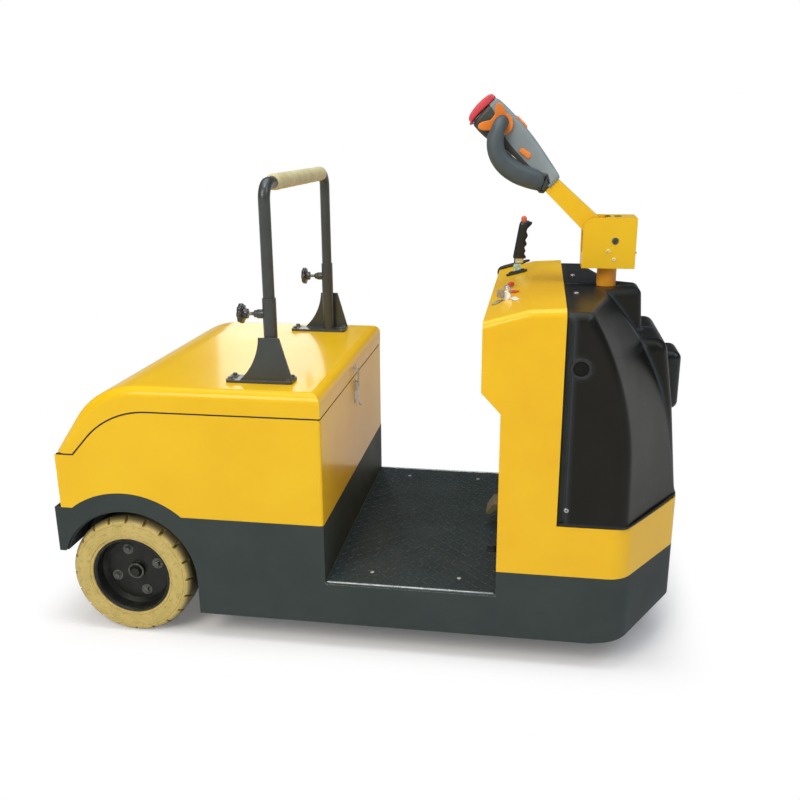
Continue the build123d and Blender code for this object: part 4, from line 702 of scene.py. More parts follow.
def slab(outline: Array, low: float, high: float, rim: float = 0.8, steps: int = 3, rings: int = 0) -> Array:
    """Rows of an outline, as a plate with rounded rims.

    Along each rim's quarter circle, at angle t, the outline is drawn in by rim (1 - sin t) and
    stands rim (1 - cos t) in from the plate's face. Further rings shrink to the outline's middle.

    Args:
        outline: the plate's outline, as rows of two.
        low: height of its underside.
        high: height of its top.
        rim: radius of its edges.
        steps: rows in each edge.
        rings: rings between the edge and the middle, or nought for one flat face.

    Returns:
        The rows of local points.
    """
    along = np.roll(outline, -1, axis=0) - np.roll(outline, 1, axis=0)
    inward = along[:, ::-1] * (-1, 1) / np.linalg.norm(along, axis=1, keepdims=True)
    x, y = outline.T
    area = (x * np.roll(y, -1) - np.roll(x, -1) * y).sum()
    turn = np.linspace(0, np.pi / 2, steps + 1)
    inset, rise = rim * (1 - np.sin(turn)), rim * (1 - np.cos(turn))
    inset = np.concatenate((inset, inset[::-1]))[:, None, None]
    height = np.concatenate((low + rise, high - rise[::-1]))
    flat = outline + inward * np.sign(area) * inset
    middle = outline.mean(axis=0)
    share = np.linspace(1, 0, rings + 1)[1:, None, None] if rings else np.zeros((0, 1, 1))
    ends = middle + share * (flat[0] - middle)
    flat = np.concatenate((ends[::-1], flat, ends))
    height = np.concatenate((np.full(rings, low), height, np.full(rings, high)))
    return np.concatenate((flat, np.broadcast_to(height[:, None, None], (*flat.shape[:2], 1))), axis=-1)


def smooth(knots: tuple, steps: int = 6) -> Array:
    """Curve through rows of numbers: between b and c, with neighbours a and d, at share t it is
    half of 2b + (c - a) t + (2a - 5b + 4c - d) t^2 + (3b - 3c + d - a) t^3.

    Args:
        knots: the rows that it goes through.
        steps: points for each span.

    Returns:
        The curve's rows.
    """
    knot = np.array(knots, float)
    spread = np.vstack((2 * knot[0] - knot[1], knot, 2 * knot[-1] - knot[-2]))
    a, b, c, d = (spread[i:len(spread) - 3 + i, None] for i in range(4))
    t = np.linspace(0, 1, steps, endpoint=False)[None, :, None]
    bend = (2 * a - 5 * b + 4 * c - d) * t ** 2 + (3 * b - 3 * c + d - a) * t ** 3
    curve = (0.5 * (2 * b + (c - a) * t + bend)).reshape(-1, knot.shape[1])
    return np.vstack((curve, knot[-1:]))


def carried(path: Array, outline: Array, lift: tuple, scale: Array | float = 1.0) -> Array:
    """Carries an outline along a path: point = path + x side + y up, where the side is the lift
    direction crossed with the path's own, and up is square to both.

    Args:
        path: the path's points, as rows of three.
        outline: the outline, as rows of x and y.
        lift: the direction that the outline's y leans to.
        scale: the outline's size at each point of the path.

    Returns:
        The rows of points.
    """
    ahead = np.gradient(path, axis=0)
    ahead = ahead / np.linalg.norm(ahead, axis=1, keepdims=True)
    side = np.cross(lift, ahead)
    side = side / np.linalg.norm(side, axis=1, keepdims=True)
    upward = np.cross(ahead, side)
    size = np.broadcast_to(scale, len(path))[:, None, None]
    return (path[:, None] + side[:, None] * outline[None, :, :1] * size
            + upward[:, None] * outline[None, :, 1:] * size)


def circle(radius: float, columns: int = 20) -> Array:
    """Points of a circle, as rows of two: radius times cosine and sine of even angles."""
    angle = np.arange(columns) * 2 * np.pi / columns
    return radius * np.stack((np.cos(angle), np.sin(angle)), axis=-1)


def rod(path: Array, radius: Array | float, lift: tuple, columns: int = 16, dome: float = 0.35,
        oval: tuple = (1.0, 1.0)) -> Array:
    """A round bar along a path, with domed ends.

    At each end, rows at angle t from nought to a right angle have the end's radius times cos t
    and stand dome times that radius times sin t past it.

    Args:
        path: the path's points, as rows of three.
        radius: the bar's radius, or one for each point.
        lift: the direction that its columns start from.
        columns: points round it.
        dome: height of the ends as a share of the radius.
        oval: the bar's size along the outline's x and y, as shares of the radius.

    Returns:
        The rows of points.
    """
    size = np.broadcast_to(np.asarray(radius, float), len(path))
    turn = np.linspace(0, np.pi / 2, 6)[1:, None]
    tips = []
    for end, inner in ((0, 1), (-1, -2)):
        out = (path[end] - path[inner]) / np.linalg.norm(path[end] - path[inner])
        tips.append((path[end] + out * np.sin(turn) * dome * size[end], np.cos(turn[:, 0]) * size[end]))
    spine = np.concatenate((tips[0][0][::-1], path, tips[1][0]))
    size = np.concatenate((tips[0][1][::-1], size, tips[1][1]))
    return carried(spine, circle(1.0, columns) * oval, lift, size)


def lofted(sections: Array, columns: int = 40, square: tuple = (0.5, 0.5),
           dome: tuple = (0.0, 0.0)) -> Array:
    """Rows of rounded boxes across local x.

    A section holds x, the middle y and z, and the half sizes a and b. Its point at angle t is
    y + a sign(cos t) |cos t|^p and z + b sign(sin t) |sin t|^p, with p taken from square: the
    first for the upper half, the second for the lower. Each end is rounded over its dome.

    Args:
        sections: rows of x, y, z, a and b.
        columns: points round each row.
        square: the two powers, near nought for a box and one for an ellipse.
        dome: length of the rounding at the first and last end.

    Returns:
        The rows of local points.
    """
    rows = np.array(sections, float)
    turn = np.linspace(0, np.pi / 2, 7)[1:]
    for end, way in ((0, -1), (-1, 1)):
        if dome[end]:
            reach = dome[end]
            tip = np.repeat(rows[end][None], len(turn), axis=0)
            tip[:, 0] += way * reach * (np.sin(turn) - 1)
            tip[:, 3:] -= reach * (1 - np.cos(turn))[:, None]
            keep = (rows[:, 0] - tip[0, 0]) * way < 0
            rows = np.vstack((tip[::-1], rows[keep])) if end == 0 else np.vstack((rows[keep], tip))
    angle = (np.arange(columns) + 0.5) * 2 * np.pi / columns
    power = np.where(np.sin(angle) > 0, square[0], square[1])
    across = np.sign(np.cos(angle)) * np.abs(np.cos(angle)) ** power
    upward = np.sign(np.sin(angle)) * np.abs(np.sin(angle)) ** power
    return np.stack((np.broadcast_to(rows[:, :1], (len(rows), columns)),
                     rows[:, 1:2] + rows[:, 3:4] * across, rows[:, 2:3] + rows[:, 4:5] * upward), axis=-1)


def panel(low: tuple, high: tuple, radius: float, steps: int = 5) -> Array:
    """Outline of a rectangle from its low to its high corner, with arcs of a radius at all four."""
    (left, down), (right, up) = low, high
    return rounded(((left, down), (right, down), (right, up), (left, up)), radius, steps)


def straight(rear: float, front: float, y: float, z: float, count: int) -> Array:
    """Count points of a level line along the vehicle, from rear to front, as rows of three."""
    x = np.linspace(rear, front, count)
    return np.stack((x, np.full(count, y), np.full(count, z)), axis=-1)


def facing_out(x: float, y: float, z: float) -> Seat:
    """A seat on a side of the vehicle, its top pointing away from the middle."""
    return Seat((x, y, z), (0, int(math.copysign(1, y)), 0))


def facing_along(x: float, y: float, z: float, way: int = 1) -> Seat:
    """A seat whose top points forward along the vehicle, or back where way is minus one."""
    return Seat((x, y, z), (way, 0, 0), (0, 1, 0))


# Sub-assemblies. A profile's rows hold radius and height over its seat


@dataclass(frozen=True)
class RearWheel:
    """Tyre with round shoulders and notched edges, and the nuts, hub ring and lip of its rim."""

    side: str
    sign: int
    axle_x: float = REAR_AXLE[0]
    axle_z: float = REAR_AXLE[1]
    face_y: float = 480.0
    width: float = 118.0
    # Radius, and depth from the outer face
    tyre_half: tuple = (
        (124.3, 6), (126, 3), (130, 1.9), (131.2, 1.8), (132.2, 3), (134, 3), (135, 1.4), (142, 0.5),
        (155, 0.1), (168, 0.2), (170, 0.5), (170.8, 1.8), (172.6, 1.8), (173.6, 1), (177, 1.7), (182.4, 4.6),
        (182.8, 5), (187, 9), (190.2, 14), (191.8, 19), (192.4, 25), (192.5, 28), (192.5, 28.6), (192.5, 44))
    notches: int = 20
    notch_width: float = 8.4
    notch_floor: float = 178.5
    notch_reach: float = 28.0
    notch_wall: float = 0.5
    # Degrees past a notch where the tread between two of them has its points
    between: tuple = (3.2, 6.0)
    nut_count: int = 4
    nut_depth: float = 50.0
    nut_circle: float = 72.5
    nut_start: float = 20.0
    nut: tuple = (17.0, 9.2, 1.6)
    hub_ring_depth: float = 38.0
    hub_ring: tuple = ((20.0, -0.5), (20.4, 1.6), (22.0, 2.6), (24.4, 2.4), (25.8, 1.2), (26.2, -0.5))
    lip_depth: float = 9.0
    lip: tuple = ((115.0, -1), (115.6, 1.6), (117.4, 3.2), (120.0, 3.6), (122.4, 2.6), (123.4, -1))

    def surface(self) -> Skin:
        """The tyre's section, mirrored over its middle and turned about the axle. Where a notch
        is, the radius is held to its floor; notches on the inner edge stand half a pitch on.

        Returns:
            The tyre's surface.
        """
        pitch = 360 / self.notches
        half = math.degrees(self.notch_width / 2 / self.axle_z)
        steep = math.degrees(self.notch_wall / self.axle_z)
        offsets = np.array((-half - steep, -half, half, half + steep, *self.between))
        angle = np.arange(self.notches)[:, None] * pitch + np.concatenate((offsets, offsets + pitch / 2))
        angle = np.sort(angle.ravel())
        outer = np.array(self.tyre_half, float)
        inner = outer[::-1] * (1, -1) + (0, self.width)
        radius, depth = np.vstack((outer, inner)).T[:, None]
        from_outer = np.abs((angle + pitch / 2) % pitch - pitch / 2)[:, None]
        from_inner = np.abs(angle % pitch - pitch / 2)[:, None]
        cut = ((from_outer < half + 0.01) & (depth < self.notch_reach + 0.1)
               | (from_inner < half + 0.01) & (depth > self.width - self.notch_reach - 0.1))
        radius = np.where(cut & (radius > self.notch_floor), self.notch_floor, radius)
        turn = np.radians(angle)[:, None]
        y = self.sign * (self.face_y - np.broadcast_to(depth, radius.shape))
        return skin(np.stack((self.axle_x + radius * np.sin(turn), y, self.axle_z + radius * np.cos(turn)),
                             axis=-1), ring=True)

    def seat(self, depth: float, along: float = 0.0, up: float = 0.0) -> Seat:
        """A seat that faces outward, depth in from the tyre's face, along and up from the axle."""
        return facing_out(self.axle_x + along, self.sign * (self.face_y - depth), self.axle_z + up)

    def build(self) -> None:
        """Makes the tyre in place of its solid, and the nuts, the hub's ring and the rim's lip."""
        body = f"wheel_{self.side}"
        build_piece(f"tyre_notched_{self.side}", [self.surface()], TYRE_CREAM, body,
                    (f"tyre_{self.side}",), crease=Crease.CUT)
        turn = np.radians(self.nut_start + np.arange(self.nut_count) * 360 / self.nut_count)
        nuts = [bolt(self.seat(self.nut_depth, self.nut_circle * math.cos(t), self.nut_circle * math.sin(t)),
                     *self.nut) for t in turn.tolist()]
        build_piece(f"rim_nuts_{self.side}", nuts, SCUFFED_GLINTING_STEEL, body)
        # A pale ring round the hub cap, its pale finish a painted highlight
        ring = turned(self.seat(self.hub_ring_depth), self.hub_ring, 48, ring=True)
        build_piece(f"hub_ring_{self.side}", [ring], SCUFFED_GLINTING_STEEL, body, crease=Crease.TURNED)
        lip = turned(self.seat(self.lip_depth), self.lip, 96, ring=True)
        build_piece(f"rim_lip_{self.side}", [lip], RIM_ENAMEL, body, crease=Crease.TURNED)


@dataclass(frozen=True)
class TreadPlate:
    """The step's chequer plate: raised bars, four screws, two pale edges, walked bare and painted as
    highlights, and a small bracket.
    """

    top: float = 221.0
    rear: float = -58.0
    front: float = 438.0
    half_width: float = 474.0
    pitch: float = 25.0
    bar_length: float = 23.0
    bar_width: float = 5.6
    bar_height: float = 1.3
    bar_turn: float = 45.0
    bar_points: int = 10
    # Share of the bar's size, and share of its height, of each ring
    bar_rings: tuple = ((1.0, -0.3), (0.98, 0.0), (0.8, 0.75), (0.5, 1.0))
    screws: tuple = ((65, -397), (330, -398), (65, 397), (330, 398))
    screw_size: tuple = (6.5, 2.6)
    bracket_foot: tuple = ((399, -206), (431, -176))
    bracket_ear: tuple = ((423, -206), (431, -176))
    ear_height: float = 22.0
    edge_y: float = 473.4
    edge_z: float = 219.0
    edge_r: float = 4.4
    edge_inset: float = 3.0

    def bars(self) -> Skin:
        """Every bar at once: rings of an almond outline, each smaller and higher, turned one way
        or the other by the chequer of its row and column.

        Returns:
            The bars' joined surface.
        """
        x = np.arange(self.rear + self.pitch / 2, self.front - self.pitch / 3, self.pitch)
        y = np.arange(-self.half_width + self.pitch / 2, self.half_width, self.pitch)
        column, row = np.meshgrid(np.arange(len(x)), np.arange(len(y)), indexing="ij")
        centre = np.stack((x[column], y[row]), axis=-1).reshape(-1, 1, 1, 2)
        way = np.radians(np.where((column + row) % 2, self.bar_turn, -self.bar_turn)).reshape(-1, 1, 1)
        angle = np.arange(self.bar_points) * 2 * np.pi / self.bar_points
        length = 0.5 * self.bar_length * np.cos(angle)
        width = 0.5 * self.bar_width * np.sin(angle) * np.abs(np.sin(angle)) ** 0.3
        level = np.array(self.bar_rings)
        a, b = level[:, :1] ** 0.4 * length, level[:, :1] * width
        cos, sin = np.cos(way), np.sin(way)
        flat = np.stack((a * cos - b * sin, a * sin + b * cos), axis=-1) + centre
        height = np.broadcast_to((self.top + level[:, 1] * self.bar_height)[None, :, None, None],
                                 (*flat.shape[:3], 1))
        grid = np.concatenate((flat, height), axis=-1)
        number = np.arange(height.size).reshape(height.shape[:3])
        loop = np.concatenate((number, number[:, :, :1]), axis=2)
        quads = np.stack((loop[:, :-1, :-1], loop[:, 1:, :-1], loop[:, 1:, 1:], loop[:, :-1, 1:]), axis=-1)
        return Skin(grid.reshape(-1, 3), quads.reshape(-1, 4), tuple(number[:, 0]) + tuple(number[:, -1]))

    def build(self) -> None:
        """Makes bars, screws, bracket and edges."""
        build_piece("tread_bars", [self.bars()], TREAD_BARS, "chassis", crease=Crease.TURNED)
        heads = [screw(Seat((x, y, self.top)), *self.screw_size) for x, y in self.screws]
        build_piece("tread_plate_screws", heads, ZINC, "chassis")
        foot = slab(panel(*self.bracket_foot, 4), self.top - 0.2, self.top + 4, 1.2)
        ear = slab(panel(*self.bracket_ear, 2), self.top + 1, self.top + self.ear_height, 1.4)
        build_piece("pedal_linkage_bracket", [skin(foot), skin(ear)], BLACK_MOULDING, "chassis",
                    crease=Crease.MOULDED)
        # Pale strips along both side edges of the step: walked bare steel and a painted highlight
        rear, front = self.rear + self.edge_inset, self.front - self.edge_inset
        strips = [skin(rod(straight(rear, front, side * self.edge_y, self.edge_z, 12), self.edge_r, (0, 0, 1),
                           dome=0.8)) for side in SIDES]
        build_piece("tread_plate_edges", strips, WORN_HIGHLIGHT_EDGE, "chassis", crease=Crease.TURNED)


@dataclass(frozen=True)
class Backrest:
    """Sleeve, clamp knobs with their bosses and studs, and foot bolts of the backrest."""

    bar_x: float = -232.0
    bar_z: float = 1368.0
    sleeve_low_y: float = -272.0
    sleeve_high_y: float = 305.0
    sleeve_r: float = 24.0
    bore_r: float = 17.0
    end_drop: float = 5.0
    end_length: float = 3.0
    swell: float = 0.35
    swells: int = 7
    clamp_y: float = 355.0
    clamp_z: float = 1003.0
    knob_face_x: float = -296.0
    lobes: int = 8
    lobe_height: float = 0.065
    # Radius, height, flats and share of the lobes
    knob_rows: tuple = (
        (5.2, -0.2), (12, 0), (14.5, 1), (15, 5), (14.6, 10), (16, 12), (19.25, 13, 0, 0.3),
        (25.85, 13.6, 0, 1), (27.5, 15.5, 0, 1), (27.775, 20, 0, 1), (27.5, 25, 0, 1), (26.125, 27, 0, 1),
        (22, 28, 0, 0.6), (16.5, 27.6, 0, 0.1), (11.55, 26), (8.25, 25.6), (3.3, 25.4), (0, 25.4))
    boss_x: float = -252.0
    boss_rows: tuple = (
        (13.4, -4), (13.4, 15), (12.8, 16.6), (10.8, 17.4), (10.6, 24), (9.8, 25.6), (5.6, 26.2), (0, 26.2))
    stud_r: float = 4.9
    stud_span: tuple = (25.0, 46.0)
    thread_pitch: float = 2.0
    thread_height: float = 0.35
    plate_x: float = -267.0
    plate_z: float = 810.0
    bolt_half: tuple = (88.0, 21.0)
    foot_bolt: tuple = (13.0, 6.5)

    def sleeve(self) -> Skin:
        """The sleeve, turned, with soft ends and a slight swell: its radius is r - d exp(-e / l)
        - s (1 + cos(2 pi n t)) at share t of the length and distance e from the nearer end.

        Returns:
            The surface.
        """
        length = self.sleeve_high_y - self.sleeve_low_y
        share = np.linspace(0, 1, 60)
        end = np.minimum(share, 1 - share) * length
        radius = (self.sleeve_r - self.end_drop * np.exp(-end / self.end_length)
                  - self.swell * (1 + np.cos(share * 2 * np.pi * self.swells)))
        rows = [(self.bore_r, 0.5), (self.sleeve_r - 6, 0.0), *zip(radius, 0.4 + share * (length - 0.8)),
                (self.sleeve_r - 6, length), (self.bore_r, length - 0.5)]
        return turned(Seat((self.bar_x, self.sleeve_low_y, self.bar_z), (0, 1, 0)), rows, columns=40)

    def clamp_seat(self, x: float, y: float) -> Seat:
        """A seat that faces back, level with the clamp."""
        return Seat((x, y, self.clamp_z), (-1, 0, 0), (0, 0, 1))

    def stud(self, y: float) -> Skin:
        """The stud between boss and knob, its thread a rise and fall of the radius.

        Args:
            y: where it stands.

        Returns:
            The surface.
        """
        start, stop = self.stud_span
        along = np.arange(start, stop, self.thread_pitch / 4)
        radius = self.stud_r + self.thread_height * np.cos(2 * np.pi * along / self.thread_pitch)
        rows = ((0, start - 0.2), *zip(radius, along), (0, stop + 0.2))
        return turned(self.clamp_seat(self.boss_x, y), rows)

    def build(self) -> None:
        """Makes sleeve, knobs, bosses, studs and bolts."""
        build_piece("backrest_sleeve", [self.sleeve()], SLEEVE_FOAM, "backrest", ("backrest_grip",))
        sides = (-self.clamp_y, self.clamp_y)
        knobs = [turned(self.clamp_seat(self.knob_face_x, y), self.knob_rows, 96, lobes=self.lobes,
                        wave=self.lobe_height) for y in sides]
        build_piece("clamp_knobs_lobed", knobs, KNOB_PHENOLIC, "lid", ("clamp_knobs",), Crease.LOBED)
        bosses = [turned(self.clamp_seat(self.boss_x, y), self.boss_rows, 40) for y in sides]
        build_piece("clamp_bosses", bosses, BRACKET_COAT, "lid", ("clamp_studs",), Crease.LOBED)
        build_piece("clamp_stud_threads", [self.stud(y) for y in sides], BRIGHT_STEEL, "lid",
                    crease=Crease.TURNED)
        a, b = self.bolt_half
        spots = [(self.plate_x + u * a, y + v * b) for y in sides for u in SIDES for v in SIDES]
        bolts = [bolt(Seat((x, y, self.plate_z)), *self.foot_bolt) for x, y in spots]
        build_piece("backrest_foot_bolts", bolts, SCUFFED_GLINTING_STEEL, "lid")


@dataclass(frozen=True)
class TillerHead:
    """The tiller's head, drawn along the arm: x up the arm, y above it, z across."""

    seat: Seat = Seat((750.0, 0.0, 1190.0), (0, 1, 0),
                      (-math.cos(math.radians(43.5)), 0.0, math.sin(math.radians(43.5))))
    # Along the arm, crown, parting line, lower edge, half width at the parting line
    stations: tuple = (
        (249, 16, -27, -30, 60), (262, 19, -26, -31, 58), (290, 25, -25, -33, 51), (330, 33, -24, -34, 45),
        (370, 40, -23, -36, 41), (410, 45, -21, -40, 39), (450, 47.5, -15, -49, 38), (480, 48.8, -5, -56, 38),
        (510, 49, 9, -58, 37.5), (530, 48, 15, -57, 36.5), (546, 46, 18, -56, 35.5))
    # Power of the crown's corners, how much boxier they are at the neck, and power of the bowl's
    crown_power: float = 0.42
    neck_drop: float = 0.28
    neck_until: float = 305.0
    neck_length: float = 45.0
    bowl_power: float = 0.35
    bowl_from: float = 262.0
    # Gap at the parting line, and how much narrower the bowl is
    parting_gap: float = 0.8
    bowl_inset: float = 0.6
    # Share that each end draws in by, and over what length: top end, neck end
    top_ease: tuple = (0.12, 9.0)
    neck_ease: tuple = (0.04, 6.0)
    # Along the arm, above it, across, radius
    guard: tuple = (
        (482, 6, 30, 21), (482, 5, 46, 22), (480, -4, 62, 22), (470, -26, 75, 22), (450, -50, 79, 22.5),
        (421, -66, 79, 23.5), (386, -70, 75, 25), (350, -63, 67, 26.5), (318, -50, 56, 27),
        (292, -38, 44, 26), (268, -29, 32, 22))
    guard_outline: tuple = (0.95, 1.12)
    guard_lift: tuple = (0.35, 1, 0.1)
    collar: tuple = ((252, -12), (250, -50), (260, -58), (304, -56), (324, -38), (306, -18), (282, -2))
    collar_half: float = 59.5
    collar_corner: float = 5.0
    collar_rim: float = 9.0
    thumb: tuple = (480.0, 5.0)
    thumb_r: float = 33.0
    thumb_span: tuple = (37.0, 46.0)
    thumb_rim: float = 2.2
    thumb_points: int = 96
    # Direction in degrees, reach and spread in degrees of each ear
    ears: tuple = ((36, 26, 19), (-50, 37, 17))
    ear_power: float = 2.4
    # Outward curl of the ears, its power, and the reaches where it starts and where it is full
    curl: float = 13.0
    curl_power: float = 1.4
    curl_reach: tuple = (24.0, 64.0)
    # Along the arm, above it, half thickness
    cap: tuple = (
        (549, -61, 5), (558, -46, 9), (561, -20, 11.5), (560, 6, 12.5), (558, 26, 12), (555, 45, 10))
    cap_half: float = 36.5
    cap_power: tuple = (0.45, 0.3)
    cap_dome: tuple = (8.0, 8.0)
    rocker: tuple = (
        (416, 0, 44, 11, 4), (424, 0, 46, 12, 5.5), (441, 0, 46, 12, 6.5), (458, 0, 47.5, 12, 5.5),
        (468, 0, 48, 11, 4))
    key: tuple = ((351, -6), (353, -13), (388, -16), (391, -6), (386, -1), (356, 4))
    key_span: tuple = (35.0, 45.0)
    key_corner: float = 2.5
    key_rim: float = 2.4

    def shells(self) -> None:
        """The two shells: rounded boxes between the parting line, the crown and the lower edge."""
        u, crown, parting, keel, half = smooth(self.stations, 5).T
        upper = np.stack((u, np.zeros_like(u), parting, half, crown - parting), axis=-1)
        share = np.linspace(0, 1, 49)
        angle = np.pi * (share - np.sin(2 * np.pi * share) / (2 * np.pi))
        power = self.crown_power - self.neck_drop * np.clip((self.neck_until - u) / self.neck_length, 0, 1)
        dome = self.half_box(upper, angle, power, 1)
        build_piece("head_shell_upper", [skin(self.seat.put(dome))], HEAD_NYLON, "tiller",
                    ("head_upper",), Crease.SHELL)
        base = parting - self.parting_gap
        lower = np.stack((u, 0 * u, base, half - self.bowl_inset, base - keel), axis=-1)[u > self.bowl_from]
        bowl = self.half_box(lower, angle, self.bowl_power, -1)
        collar = slab(rounded(self.collar, self.collar_corner), -self.collar_half, self.collar_half,
                      self.collar_rim, 5)
        build_piece("head_shell_lower", [skin(self.seat.put(bowl)), skin(self.seat.put(collar))], LOWER_NYLON,
                    "tiller", ("head_lower",), Crease.SHELL)

    def half_box(self, rows: Array, angle: Array, power: Array | float, way: int) -> Array:
        """Rows of half a rounded box on a flat base, ends rounded in.

        At angle t its point is half width times sign(cos t) |cos t|^p across and height times
        |sin t|^p from the base.

        Args:
            rows: along, across, base, half width and height of each section.
            angle: the angles of a row's points.
            power: p, near nought for a box, or one for each row.
            way: one for a box above its base, minus one below.

        Returns:
            The rows of local points.
        """
        along = rows[:, 0]
        (top, top_length), (neck, neck_length) = self.top_ease, self.neck_ease
        ease = (1 - top * np.clip(1 - (along[-1] - along) / top_length, 0, 1) ** 2
                - neck * np.clip(1 - (along - along[0]) / neck_length, 0, 1) ** 2)[:, None]
        power = np.broadcast_to(power, len(rows))[:, None]
        across = np.sign(np.cos(angle)) * np.abs(np.cos(angle)) ** power
        height = np.clip(np.sin(angle), 0, 1) ** power
        z = rows[:, 3:4] * ease * across
        y = rows[:, 2:3] + way * rows[:, 4:5] * ease * height
        return np.stack((np.broadcast_to(rows[:, :1], z.shape), y, z), axis=-1)

    def guards(self) -> None:
        """The guard on each side: a round bar of changing radius along a smooth loop."""
        path = smooth(self.guard, 7)
        loops = [skin(self.seat.put(rod(path[:, :3] * (1, 1, side), path[:, 3], self.guard_lift, 28, 0.6,
                                        self.guard_outline))) for side in SIDES]
        build_piece("head_guards", loops, GRIP_NYLON, "tiller", ("head_handles",), Crease.MOULDED)

    def thumb_controls(self) -> None:
        """Thumb wheel on each side: a disc with two ears, whose radius at angle t is r plus
        a exp(-(|t - t0| / w)^p) for each ear, curled outward past the disc."""
        angle = np.arange(self.thumb_points) * 2 * np.pi / self.thumb_points
        radius = np.full(self.thumb_points, self.thumb_r)
        for centre, reach, spread in self.ears:
            gap = np.abs((np.degrees(angle) - centre + 180) % 360 - 180)
            radius = radius + reach * np.exp(-(gap / spread) ** self.ear_power)
        outline = radius[:, None] * np.stack((np.cos(angle), np.sin(angle)), axis=-1)
        start, full = self.curl_reach
        wheels = []
        for side in SIDES:
            rows = slab(outline, *self.thumb_span, self.thumb_rim, rings=6)
            reach = np.linalg.norm(rows[..., :2], axis=-1)
            rows[..., 2] += self.curl * np.clip((reach - start) / (full - start), 0, 1) ** self.curl_power
            rows[..., 2] *= side
            rows[..., :2] += self.thumb
            wheels.append(skin(self.seat.put(rows)))
        build_piece("head_thumb_controls", wheels, ORANGE_ACETAL, "tiller", ("butterflies",), Crease.LOBED)

    def buttons(self) -> None:
        """End button, top rocker and side keys."""
        u, v, thick = smooth(self.cap, 6).T
        sections = np.stack((v, 0 * u, u, np.full(len(u), self.cap_half), thick), axis=-1)
        cap = lofted(sections, 44, self.cap_power, self.cap_dome)[..., [2, 0, 1]]
        build_piece("head_end_button", [skin(self.seat.put(cap))], RED_ACETAL, "tiller",
                    ("reverse_button",), Crease.MOULDED)
        rocker = lofted(self.rocker, 28, dome=(5.0, 5.0))
        keys = [skin(self.seat.put(rocker[..., [0, 2, 1]]))]
        key = slab(rounded(self.key, self.key_corner), *self.key_span, self.key_rim, 4)
        keys += [skin(self.seat.put(key * (1, 1, side))) for side in SIDES]
        build_piece("head_keys", keys, ORANGE_ACETAL, "tiller", crease=Crease.MOULDED)

    def build(self) -> None:
        """Makes the whole head."""
        self.shells()
        self.guards()
        self.thumb_controls()
        self.buttons()


